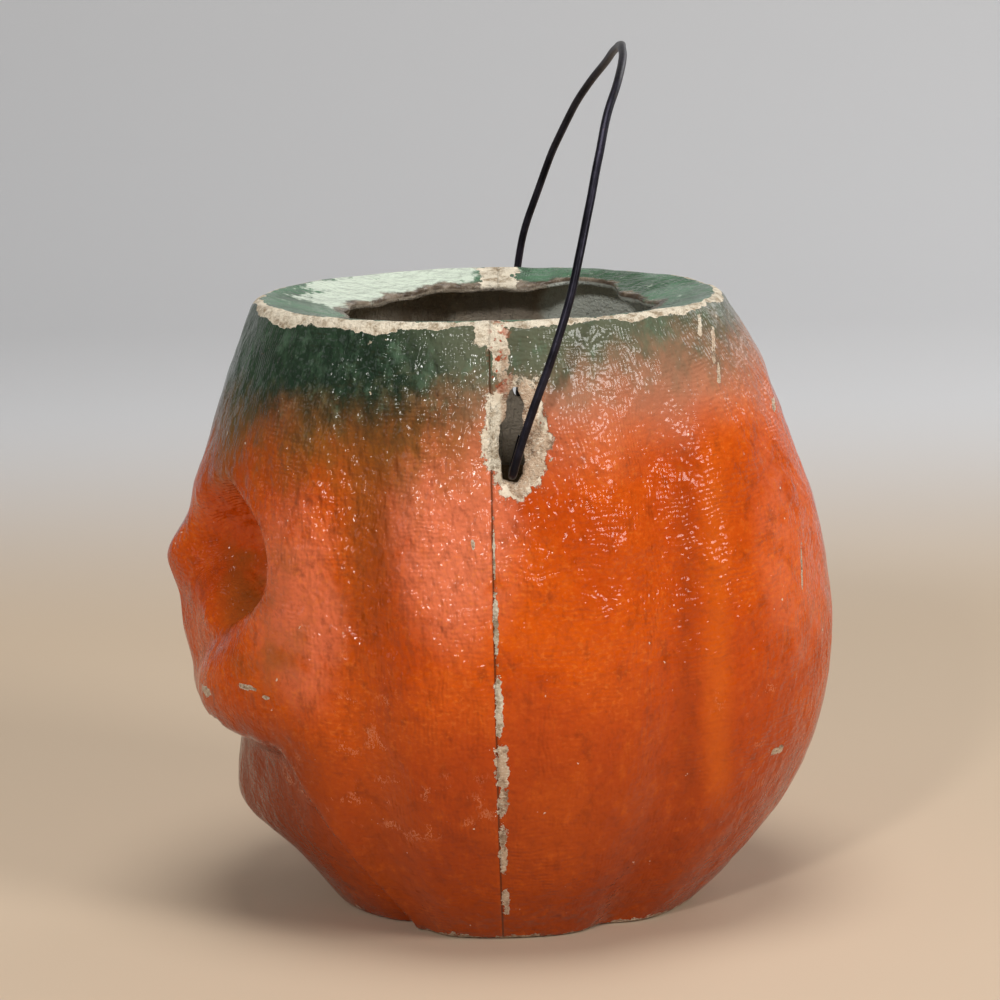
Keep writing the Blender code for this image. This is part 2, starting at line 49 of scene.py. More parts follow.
# Sizes of the moulded form, in metres and degrees, as the CAD model has them, but for the valley behind each
# side, which stands a little further forward, where the photograph has it
RIM_HEIGHT = 0.1350
WALL = 0.0022
SIDE_FOOT, SIDE_WIDEST, SIDE_RIM = 0.0405, 0.0653, 0.0520
BACK_FOOT, BACK_WIDEST, BACK_RIM = 0.0430, 0.0748, 0.0494
FACE_FOOT, FACE_WIDEST, FACE_RIM = 0.0450, 0.0670, 0.0522
BACK_WIDEST_HEIGHT, FACE_WIDEST_HEIGHT = 0.062, 0.082
BACK_SWELL_BELOW, BACK_SWELL_ABOVE = 2.2, 1.9
FACE_SWELL_BELOW, FACE_SWELL_ABOVE = 2.9, 1.6
VALLEYS = (64.0, 122.5, 180.0)
VALLEY_DEPTH, VALLEY_WIDTH = 0.0034, 8.0
LOBES_END, LOBES_FADE = 0.122, 0.020
RIM_ROUND, LIP_SLOPE = 0.0030, 13.0
LIP_SIDE, LIP_FRONT, LIP_BACK = 0.0120, 0.0170, 0.0128
LIP_RAGGED, LIP_TORN = 0.0009, 0.0055
LIP_TORN_AT, LIP_TORN_SPAN = 240.0, 16.0
LIP_THINNING = 0.25
FOOT_ROUND, FOOT_RING = 0.0032, 0.0060
PANEL_SLOPE, PANEL_RAISE = 0.0040, 0.0030
BRAD_HOLE = 0.0021
NOSE_TIP, NOSE_HEIGHT = 0.0737, 0.0782
NOSE_HALF_WIDTH, NOSE_HALF_HEIGHT = 0.0098, 0.0080
NOSE_BRIDGE = (0.0, 0.0620, 0.0042, 0.0090, 0.0125, 0.0)
BROW = (0.0090, 0.0945, 0.0017, 0.0120, 0.0074, 10.0)
CHEEK = (0.0300, 0.0530, 0.0042, 0.0150, 0.0095, 0.0)
CHEEK_FOLD = (0.0240, 0.0633, -0.0018, 0.0170, 0.0034, 26.0)
UPPER_LIP = (0.0, 0.0490, 0.0016, 0.0250, 0.0042, 0.0)
LOWER_LIP = (0.0, 0.0335, 0.0018, 0.0260, 0.0060, 0.0)
CHIN = (0.0, 0.0225, 0.0074, 0.0225, 0.0090, 0.0)
JAW_HOLLOW = 0.0066
JAW_TOP, JAW_TOP_FADE = 0.0420, 0.0080
JAW_RIDGE_TOP, JAW_RIDGE_FOOT, JAW_RIDGE_FADE = 46.0, 64.0, 5.0
FACE_FADE = 0.30
SOCKET_SIDE, SOCKET_HEIGHT = 0.0270, 0.0828
SOCKET_TO_NOSE, SOCKET_TO_TEMPLE, SOCKET_HALF_HEIGHT = 0.0128, 0.0172, 0.0146
SOCKET_EDGE = 8
SOCKET_FLOOR = -0.0470
BROW_FOLD = (0.0180, 0.0905, 0.0022, 0.0050, 0.0050, 0.0)
EYE_HALF_WIDTH, EYE_HALF_HEIGHT = 0.0090, 0.0080
MOUTH_HALF_WIDTH = 0.0290
MOUTH_TOP, MOUTH_DROP = 0.0462, 0.0078
MOUTH_CORNER_LIFT, MOUTH_CORNER_OPEN = 0.0004, 0.0008

# The bail holes: torn open at +X, its ragged edge in shares of the radius and of the rise, and round at -X
SLOT_RADIUS, SLOT_TOP = 0.0020, 0.1218
SLOT_EDGE = ((1.30, 0.15), (1.35, 0.42), (1.10, 0.60), (1.20, 0.82), (0.70, 1.0), (-0.10, 0.97),
             (-0.55, 0.82), (-0.50, 0.66), (-1.20, 0.57), (-1.35, 0.36), (-1.25, 0.14))
PUNCHED_HOLE = 0.0016

# The bent wire, from the pivot to the crown, as shares of the half span and of the rise
WIRE_RADIUS = 0.00088
WIRE_OUTSIDE, HOOK_INSIDE = 0.0021, 0.0053
BAIL_RISE, BAIL_LEAN = 0.0872, 16.5
HOOK_RISE, WIRE_BEND = 0.0072, 0.0017
ARCH = ((1.0, 0.09), (0.995, 0.20), (0.985, 0.32), (0.950, 0.45), (0.900, 0.56), (0.820, 0.67),
        (0.710, 0.775), (0.575, 0.865), (0.420, 0.935), (0.230, 0.982))
LEG_BOW_NEAR = (0.001, 0.007, 0.016, 0.018, 0.011, 0.005, -0.002, -0.002, 0.002, 0.003)
LEG_BOW_FAR = (-0.025, -0.063, -0.094, -0.103, -0.096, -0.085, -0.068, -0.046, -0.023, -0.009)
CROWN_BOW = -0.002
WIRE_KINK, KINK_SCALE, STRAIGHT_END = 0.00035, 95, 0.03
WIRE_STEPS = 6

# The skin's rows of points: out over the bottom's panel, up the wall, round the rim and in along the lip
SKIN_STEP = 0.0009
PANEL_ROWS, RIM_STEPS, LIP_STEPS = 14, 6, 13
WALL_FOOT_SHARE, WALL_TOP_SHARE = 0.38, 0.67
FLARE_STEP, LEAN_STEP = 0.0047, 0.001
MEASURED_ROW = 80
SEAM_OVERLAP = 0.00001

# Hand-made unevenness of the skin
WOBBLE, WOBBLE_SCALE = 0.00045, 36.0
DIMPLE, DIMPLE_SCALE = 0.00016, 130.0
TORN_DEPTH, TORN_ROUGHNESS, TORN_SCALE = 0.00070, 0.0003, 500.0
INSIDE_ROUGHNESS, INSIDE_SCALE = 0.00025, 260.0

# Relief in the paint's material: the moulding screen's pitch, and each bump's height
SCREEN_PITCH, SCREEN_RISE = 0.00105, 0.000034
WRINKLE_RISE, RIPPLE_RISE, DIMPLE_RISE, DENT_RISE = 0.00135, 0.00028, 0.00130, 0.00180
GRAIN_RISE, PAINT_FILM = 0.00080, 0.00022

# How far the cutters for the openings reach: along Y through the face, along X through a side
FACE_CUT, SIDE_CUT = (-0.09, -0.02), (0.046, 0.070)

# Camera, solved from the rim's and the foot's ellipses in the photograph
CAMERA_REACH, CAMERA_HEIGHT, CAMERA_SHIFT = 0.7822, 0.2277, 0.0004
CAMERA_TURN, CAMERA_PITCH, CAMERA_ROLL = 1.2, 10.08, 1.2
LENS, SENSOR = 129.0, 36.0

# The floor reaches this far to all sides but one, where it turns up into a backdrop
FLOOR_REACH, FLOOR_BACK, SWEEP_RADIUS, BACKDROP_TOP = 5.0, 1.0, 0.5, 2.5


def ease(low, high, value):
    share = np.clip((value - low) / (high - low), 0.0, 1.0)
    return share * share * (3 - 2 * share)


def swell(height, widest_height, foot, widest, rim, below, above):
    low = widest - (widest - foot) * np.clip(1 - height / widest_height, 0, None) ** below
    share = np.clip((height - widest_height) / (RIM_HEIGHT - widest_height), 0, None)
    return np.where(height < widest_height, low, widest - (widest - rim) * share**above)


def side_reach(height):
    return swell(height, BACK_WIDEST_HEIGHT, SIDE_FOOT, SIDE_WIDEST, SIDE_RIM,
                 BACK_SWELL_BELOW, BACK_SWELL_ABOVE)


def back_reach(height):
    return swell(height, BACK_WIDEST_HEIGHT, BACK_FOOT, BACK_WIDEST, BACK_RIM,
                 BACK_SWELL_BELOW, BACK_SWELL_ABOVE)


def face_reach(height):
    return swell(height, FACE_WIDEST_HEIGHT, FACE_FOOT, FACE_WIDEST, FACE_RIM,
                 FACE_SWELL_BELOW, FACE_SWELL_ABOVE)


def lump(shape, x, height):
    side, up, rise, half_width, half_height, tilt = shape
    turn = math.radians(tilt)
    aside, above = abs(x) - side, height - up
    along = (aside * math.cos(turn) + above * math.sin(turn)) / half_width
    across = (above * math.cos(turn) - aside * math.sin(turn)) / half_height
    return rise * np.exp(-(along**2) - across**2)


def hollow(angle, height):
    turn = abs(np.degrees(angle))
    turn = np.minimum(turn, 360 - turn)
    valley = np.max([np.exp(-(((turn - at) / VALLEY_WIDTH) ** 2)) for at in VALLEYS], axis=0)
    depth = VALLEY_DEPTH * valley * (1 - ease(LOBES_END - LOBES_FADE, LOBES_END, height))
    ridge = JAW_RIDGE_FOOT + (JAW_RIDGE_TOP - JAW_RIDGE_FOOT) * np.minimum(1.0, height / JAW_TOP)
    under_mouth = 1 - ease(JAW_TOP - JAW_TOP_FADE / 2, JAW_TOP + JAW_TOP_FADE / 2, height)
    depth += JAW_HOLLOW * under_mouth * (1 - ease(ridge - JAW_RIDGE_FADE, ridge, turn))
    return depth / side_reach(height)


def face_relief(x, height):
    at_tip = np.array(NOSE_HEIGHT)
    nose_rise = NOSE_TIP - face_reach(at_tip) - lump(NOSE_BRIDGE, 0, at_tip)
    nose = (0.0, NOSE_HEIGHT, nose_rise, NOSE_HALF_WIDTH, NOSE_HALF_HEIGHT, 0.0)
    shapes = (nose, NOSE_BRIDGE, BROW, CHEEK, CHEEK_FOLD, UPPER_LIP, LOWER_LIP, CHIN)
    return sum(lump(shape, x, height) for shape in shapes)


def socket_share(x, height):
    aside = abs(x) - SOCKET_SIDE
    across = aside / np.where(aside > 0, SOCKET_TO_TEMPLE, SOCKET_TO_NOSE)
    along = (height - SOCKET_HEIGHT) / SOCKET_HALF_HEIGHT
    return 1 / (1 + (abs(across) + along**2) ** SOCKET_EDGE)


def on_body(angle, height):
    """Points on the outside of the pulp. Angle 0 is the middle of the face, pi/2 the seam at +X."""
    forward = np.cos(angle)
    reach = np.where(forward > 0, face_reach(height), back_reach(height))
    drawn = 1 - hollow(angle, height)
    x = side_reach(height) * np.sin(angle) * drawn
    y = -reach * forward * drawn
    y = y - np.where(forward > 0, face_relief(x, height) * ease(0.0, FACE_FADE, forward), 0)
    sunk = np.maximum(0.0, SOCKET_FLOOR - y) * socket_share(x, height) - lump(BROW_FOLD, x, height)
    y = y + np.where(forward > 0, sunk, 0)
    return np.stack([x, y, height + 0 * x], axis=-1)


def normal_at(angle, height):
    turn, climb = 0.004, 0.0004
    across = on_body(angle + turn, height) - on_body(angle - turn, height)
    up = on_body(angle, height + climb) - on_body(angle, height - climb)
    normal = np.cross(across, up)
    return normal / np.linalg.norm(normal, axis=-1, keepdims=True)


def lip_width(angle):
    forward = np.cos(angle)
    width = LIP_SIDE + (np.where(forward > 0, LIP_FRONT, LIP_BACK) - LIP_SIDE) * forward**2
    ragged = LIP_RAGGED * (np.sin(7 * angle + 1) + 0.6 * np.sin(17 * angle))
    turn = angle - math.radians(LIP_TORN_AT)
    from_tear = np.degrees(np.arctan2(np.sin(turn), np.cos(turn)))
    return width + ragged - LIP_TORN * np.exp(-((from_tear / LIP_TORN_SPAN) ** 2))


def shell_grid(angles):
    """Outer points and outward normals along every angle: brad hole, panel, foot ring, wall, rim and lip."""
    points, normals, depths = [], [], []
    up = np.array([0.0, 0.0, 1.0])

    def add(point, normal, depth=WALL):
        points.append(point + np.zeros((len(angles), 3)))
        normals.append(normal + np.zeros((len(angles), 3)))
        depths.append(depth)

    low = FOOT_ROUND * WALL_FOOT_SHARE
    top_height = RIM_HEIGHT - WALL_TOP_SHARE * RIM_ROUND
    heights = np.linspace(low, top_height, int((top_height - low) / SKIN_STEP) + 1)
    foot = on_body(angles, np.full_like(angles, low))
    flat = foot * [1, 1, 0]
    reach = np.linalg.norm(flat, axis=1, keepdims=True)
    out = flat / reach
    flare = on_body(angles, np.full_like(angles, low + FLARE_STEP)) - foot
    start = -np.arctan2((flare * out).sum(1, keepdims=True), flare[:, 2:3])
    ring_out = reach - FOOT_ROUND * np.cos(start)
    ring_in = ring_out - FOOT_RING
    panel = ring_in - PANEL_SLOPE
    for share in np.linspace(0, 1, PANEL_ROWS):
        add(out * (BRAD_HOLE + (panel - BRAD_HOLE) * share) + up * PANEL_RAISE, -up)
    for share in (0.25, 0.5, 0.75, 1.0):
        add(out * (panel + PANEL_SLOPE * share) + up * PANEL_RAISE * (1 - ease(0, 1, share)), -up)
    for share in (0.25, 0.5, 0.75):
        add(out * (ring_in + FOOT_RING * share), -up)
    for share in (1.0, 0.75, 0.5, 0.25):
        turn = start + (-math.pi / 2 - start) * share
        rise = low * (np.sin(turn) + 1) / (np.sin(start) + 1)
        normal = out * np.cos(turn) + up * np.sin(turn)
        add(out * (ring_out + FOOT_ROUND * np.cos(turn)) + up * rise, normal)
    for height in heights:
        level = np.full_like(angles, height)
        add(on_body(angles, level), normal_at(angles, level))
    top = points[-1]
    flat = top * [1, 1, 0]
    out = flat / np.linalg.norm(flat, axis=1, keepdims=True)
    lean = top - on_body(angles, np.full_like(angles, heights[-1] - LEAN_STEP))
    start = np.arctan2(-(lean * out).sum(1, keepdims=True), lean[:, 2:3])
    end = math.radians(90 + LIP_SLOPE)
    centre = top - (out * np.cos(start) + up * np.sin(start)) * RIM_ROUND
    for share in np.linspace(0, 1, RIM_STEPS + 1)[1:]:
        turn = start + (end - start) * share
        normal = out * np.cos(turn) + up * np.sin(turn)
        add(centre + normal * RIM_ROUND, normal)
    edge, normal = points[-1], normals[-1]
    inward = up * math.cos(end) - out * math.sin(end)
    width = lip_width(angles)[:, None]
    for share in np.linspace(0, 1, LIP_STEPS + 1)[1:]:
        add(edge + inward * width * share, normal, WALL * (1 - LIP_THINNING * share))
    return np.stack(points, 1), np.stack(normals, 1), np.array(depths)


def noise_at(points, scale, octaves=3):
    values = [noise.fractal(Vector(point) * scale, 0.9, 2.0, octaves) for point in points.reshape(-1, 3)]
    return np.array(values).reshape(points.shape[:-1])


def ellipse(y, z, centre, half):
    """Distance inside an ellipse on the side of the lantern, as a share: 1 in its middle, 0 on its edge."""
    return 1 - np.sqrt(((y - centre[0]) / half[0]) ** 2 + ((z - centre[1]) / half[1]) ** 2)


# Bare places seen on the left side: middle (y, z) and half size, in metres
TORN_HOLE = ((0.0052, 0.1122), (0.0070, 0.0122))
HOLE_STRIP = ((0.0021, 0.1290), (0.0020, 0.0075))
RIM_FLAKE = ((0.0005, 0.1325), (0.0036, 0.0030))
PAINT_SPOTS = ((0.0021, 0.1280), (0.0030, 0.0110))
SEAM_CHIPS = (((0.0003, 0.0900), (0.0003, 0.0070)), ((0.0004, 0.0735), (0.0006, 0.0070)),
              ((0.0007, 0.0565), (0.0008, 0.0085)), ((0.0011, 0.0410), (0.0014, 0.0095)),
              ((0.0007, 0.0245), (0.0007, 0.0075)), ((0.0009, 0.0105), (0.0009, 0.0036)))
SMALL_CHIPS = (((0.0593, 0.0394), (0.0014, 0.0010)), ((0.0469, 0.1262), (0.00045, 0.0036)),
               ((0.0478, 0.1215), (0.0004, 0.0020)), ((0.0440, 0.1305), (0.00045, 0.0024)),
               ((0.0652, 0.0777), (0.0002, 0.0040)), ((0.0602, 0.1113), (0.0005, 0.0012)),
               ((-0.0633, 0.0530), (0.0011, 0.0011)), ((-0.0535, 0.0566), (0.0018, 0.0006)),
               ((-0.0490, 0.0552), (0.0009, 0.0004)), ((-0.0040, 0.0905), (0.0004, 0.0012)))

# The bare place on the lip above the right side's seam, placed the same way
FAR_SEAM_CHIP = ((0.0, 0.131), (0.0040, 0.012))


def torn_share(points):
    """How deep the pulp is torn away round the bail hole on the left side, from 0 to 1."""
    ragged_edge = 0.22 * noise_at(points, 420.0, 4) + 0.12 * noise_at(points, 90.0, 2)
    inside = ellipse(points[..., 1], points[..., 2], *TORN_HOLE) + ragged_edge
    return np.clip(inside * 3, 0, 1) * (points[..., 0] > 0)


def fine_half(name, angles, seam):
    """One half's skin, outer and inner, with maps for the paint: lengths along it, its inside and its lip."""
    points, normals, depths = shell_grid(angles)
    below = np.linalg.norm(np.diff(points, axis=1), axis=2)
    along = np.concatenate([np.zeros((len(angles), 1)), np.cumsum(below, axis=1)], axis=1)
    lip_row = points.shape[1] - LIP_STEPS - 1
    rim_row = lip_row - RIM_STEPS // 2
    along = along - along[:, rim_row:rim_row + 1]
    around = np.cumsum(np.r_[0, np.linalg.norm(np.diff(points[:, MEASURED_ROW], axis=0), axis=1)])
    torn = torn_share(points)
    lip = np.zeros(along.shape)
    lip[:, lip_row:] = np.linspace(0.0, 1.0, LIP_STEPS + 1)
    wobble = WOBBLE * noise_at(points, WOBBLE_SCALE) + DIMPLE * noise_at(points, DIMPLE_SCALE)
    seam_fade = ease(0.0, 0.012, abs(points[..., 1]))
    foot_fade = ease(0.0004, 0.006, points[..., 2])
    push = wobble * (0.35 + 0.65 * seam_fade) * foot_fade
    push = push - torn * (TORN_DEPTH + TORN_ROUGHNESS * noise_at(points, TORN_SCALE, 2))
    outer = points + normals * push[..., None]
    rough = INSIDE_ROUGHNESS * noise_at(points, INSIDE_SCALE) * foot_fade
    inner = points - normals * (depths[None, :] + rough)[..., None]
    for surface in (outer, inner):
        surface[0, :, 1] = surface[-1, :, 1] = seam
    columns, rows = points.shape[:2]
    verts = np.concatenate([outer.reshape(-1, 3), inner.reshape(-1, 3)])
    layer = columns * rows
    index = np.arange(layer).reshape(columns, rows)
    a, b, c, d = index[:-1, :-1], index[1:, :-1], index[1:, 1:], index[:-1, 1:]
    outer_faces = np.stack([a, b, c, d], -1).reshape(-1, 4)
    inner_faces = outer_faces[:, ::-1] + layer
    ends = []
    for line, flip in ((index[0], False), (index[-1], True), (index[:, 0], True), (index[:, -1], False)):
        strip = np.stack([line[:-1], line[1:], line[1:] + layer, line[:-1] + layer], -1)
        ends.append(strip[:, ::-1] if flip else strip)
    faces = np.concatenate([outer_faces, inner_faces, *ends])
    mesh = bpy.data.meshes.new(name)
    mesh.from_pydata(verts.tolist(), [], faces.tolist())
    bm = bmesh.new()
    bm.from_mesh(mesh)
    bmesh.ops.recalc_face_normals(bm, faces=bm.faces)
    bm.to_mesh(mesh)
    bm.free()
    corner = np.zeros(len(mesh.loops), dtype=np.int32)
    mesh.loops.foreach_get("vertex_index", corner)
    spread = np.tile(np.stack([np.repeat(around[:, None], rows, 1), along], -1).reshape(-1, 2), (2, 1))
    cover = np.stack([np.repeat([0.0, 1.0], layer), np.tile(lip.reshape(-1), 2)], -1)
    for map_name, values in (("spread", spread), ("cover", cover)):
        layer_map = mesh.uv_layers.new(name=map_name)
        layer_map.data.foreach_set("uv", values[corner].astype(np.float32).reshape(-1))
    mesh.shade_smooth()
    skin = bpy.data.objects.new(name, mesh)
    bpy.context.scene.collection.objects.link(skin)
    mesh.materials.append(PAINTED)
    mesh.materials.append(RAW_PULP)
    return skin


class Shader:
    """A material's node tree, built one call for each node. Values may be numbers or other nodes' outputs."""

    def __init__(self, name, roughness=0.5, metallic=0.0):
        self.material = bpy.data.materials.new(name)
        self.material.use_nodes = True
        self.tree = self.material.node_tree
        self.surface = self.tree.nodes["Principled BSDF"]
        self.surface.inputs["Roughness"].default_value = roughness
        self.surface.inputs["Metallic"].default_value = metallic
        self.place = self.add("ShaderNodeTexCoord").outputs["Object"]

    def add(self, kind, **settings):
        made = self.tree.nodes.new(kind)
        for key, value in settings.items():
            setattr(made, key, value)
        return made

    def feed(self, socket, value):
        if isinstance(value, bpy.types.NodeSocket):
            self.tree.links.new(value, socket)
        elif isinstance(value, tuple) and socket.type == "RGBA":
            socket.default_value = (*value, 1.0)
        else:
            socket.default_value = value

    def set(self, name, value):
        self.feed(self.surface.inputs[name], value)

    def math(self, operation, a, b=0.0, clamp=False):
        made = self.add("ShaderNodeMath", operation=operation, use_clamp=clamp)
        self.feed(made.inputs[0], a)
        self.feed(made.inputs[1], b)
        return made.outputs[0]

    def times(self, a, b):
        return self.math("MULTIPLY", a, b)

    def plus(self, a, b):
        return self.math("ADD", a, b)

    def most(self, a, b):
        return self.math("MAXIMUM", a, b)

    def between(self, value, low, high):
        """0 up to low, 1 from high on, smooth between. Low may be above high."""
        made = self.add("ShaderNodeMapRange", interpolation_type="SMOOTHSTEP")
        self.feed(made.inputs["Value"], value)
        self.feed(made.inputs["From Min"], low)
        self.feed(made.inputs["From Max"], high)
        return made.outputs["Result"]

    def axes(self, vector):
        made = self.add("ShaderNodeSeparateXYZ")
        self.feed(made.inputs[0], vector)
        return made.outputs["X"], made.outputs["Y"], made.outputs["Z"]

    def noise(self, scale, detail=3.0, roughness=0.5, vector=None):
        made = self.add("ShaderNodeTexNoise")
        self.feed(made.inputs["Vector"], vector or self.place)
        made.inputs["Scale"].default_value = scale
        made.inputs["Detail"].default_value = detail
        made.inputs["Roughness"].default_value = roughness
        return made.outputs["Fac"]

    def cell_edges(self, scale, vector):
        """Distance to the nearest edge between random cells, for cracks."""
        made = self.add("ShaderNodeTexVoronoi", feature="DISTANCE_TO_EDGE")
        self.feed(made.inputs["Vector"], vector)
        made.inputs["Scale"].default_value = scale
        return made.outputs["Distance"]

    def stretched(self, x, y, z):
        """Object coordinates with each axis scaled, for streaks."""
        made = self.add("ShaderNodeVectorMath", operation="MULTIPLY")
        self.feed(made.inputs[0], self.place)
        made.inputs[1].default_value = (x, y, z)
        return made.outputs[0]

    def mix(self, share, a, b):
        made = self.add("ShaderNodeMix", data_type="RGBA")
        self.feed(made.inputs["Factor"], share)
        self.feed(made.inputs["A"], a)
        self.feed(made.inputs["B"], b)
        return made.outputs["Result"]

    def from_middle(self, centre, half):
        """Squared distance from the middle of an upright oval on the (y, z) side view, 1 on its edge."""
        _, y, z = self.axes(self.place)
        across = self.times(self.plus(y, -centre[0]), 1 / half[0])
        along = self.times(self.plus(z, -centre[1]), 1 / half[1])
        return self.plus(self.times(across, across), self.times(along, along))

    def near(self, centre, half, softness):
        """1 inside an upright oval on the side view, 0 outside, with a soft edge."""
        return self.between(self.from_middle(centre, half), 1 + softness, 1 - softness)

    def inside_oval(self, centre, half):
        """How far inside an upright oval on the side view: 1 in its middle, 0 on its edge."""
        return self.math("SUBTRACT", 1.0, self.math("SQRT", self.from_middle(centre, half)))

    def bump(self, height, distance, strength=1.0, normal=None):
        made = self.add("ShaderNodeBump")
        self.feed(made.inputs["Strength"], strength)
        made.inputs["Distance"].default_value = distance
        self.feed(made.inputs["Height"], height)
        if normal is not None:
            self.feed(made.inputs["Normal"], normal)
        return made.outputs["Normal"]


ORANGE, DEEP_ORANGE, BURNT = (0.66, 0.096, 0.003), (0.53, 0.065, 0.003), (0.20, 0.028, 0.003)
BRIGHT_ORANGE, SHEEN_SALMON, OCHRE = (0.70, 0.135, 0.008), (0.84, 0.235, 0.120), (0.22, 0.085, 0.014)
GREEN, DARK_GREEN, TEAL = (0.032, 0.062, 0.034), (0.014, 0.029, 0.016), (0.115, 0.125, 0.080)
SAGE, MINT, FADED = (0.110, 0.190, 0.120), (0.64, 0.72, 0.60), (0.50, 0.275, 0.175)
LIP_GREEN, LIP_PALE_GREEN, LIP_STAIN = (0.045, 0.095, 0.052), (0.10, 0.20, 0.12), (0.24, 0.19, 0.14)
TAN, CREAM, PULP_DARK = (0.60, 0.44, 0.31), (0.80, 0.70, 0.55), (0.085, 0.060, 0.040)
PALE_PULP, PALE_HOLLOW_SHADE, TAN_HOLLOW_SHADE = (0.80, 0.71, 0.56), (0.38, 0.29, 0.19), (0.26, 0.16, 0.10)
FIBRE, RAW_HOLLOW_SHADE = (0.84, 0.76, 0.62), (0.24, 0.18, 0.12)
PAINT_TICK, CRACKED, PAINT_LEFT = (0.84, 0.215, 0.030), (0.80, 0.32, 0.16), (0.42, 0.085, 0.03)
SEAM_SHADOW = (0.07, 0.020, 0.006)
LIT_INSIDE_BROWN, LIT_INSIDE_TAN, INSIDE_SPOT = (0.36, 0.28, 0.20), (0.62, 0.53, 0.42), (0.45, 0.41, 0.33)
LIT_WASH_GREY, LIT_WASH_PALE, STRIP_BROWN = (0.62, 0.66, 0.58), (0.80, 0.84, 0.76), (0.46, 0.39, 0.31)
FLOOR_WOOD, BACKDROP_GREY = (0.60, 0.47, 0.34), (0.78, 0.78, 0.79)


def pulp_colour(shader):
    """Bare pulp: tan with darker patches painted as the shade in its hollows, a few pale fibres, paler round
    the rim and up the seam.
    """
    _, y, z = shader.axes(shader.place)
    up_seam = shader.times(shader.between(shader.math("ABSOLUTE", y), 0.0026, 0.0018),
                           shader.between(z, 0.046, 0.058))
    pale = shader.most(shader.between(z, 0.1275, 0.1310), up_seam)
    light = shader.mix(pale, TAN, PALE_PULP)
    dark = shader.mix(pale, TAN_HOLLOW_SHADE, PALE_HOLLOW_SHADE)
    base = shader.mix(shader.between(shader.noise(330.0, 5, 0.7), 0.38, 0.56), dark, light)
    fibres = shader.between(shader.noise(1100.0, 4, 0.7, shader.stretched(1, 1, 2.5)), 0.50, 0.66)
    return shader.mix(shader.times(fibres, 0.75), base, FIBRE)


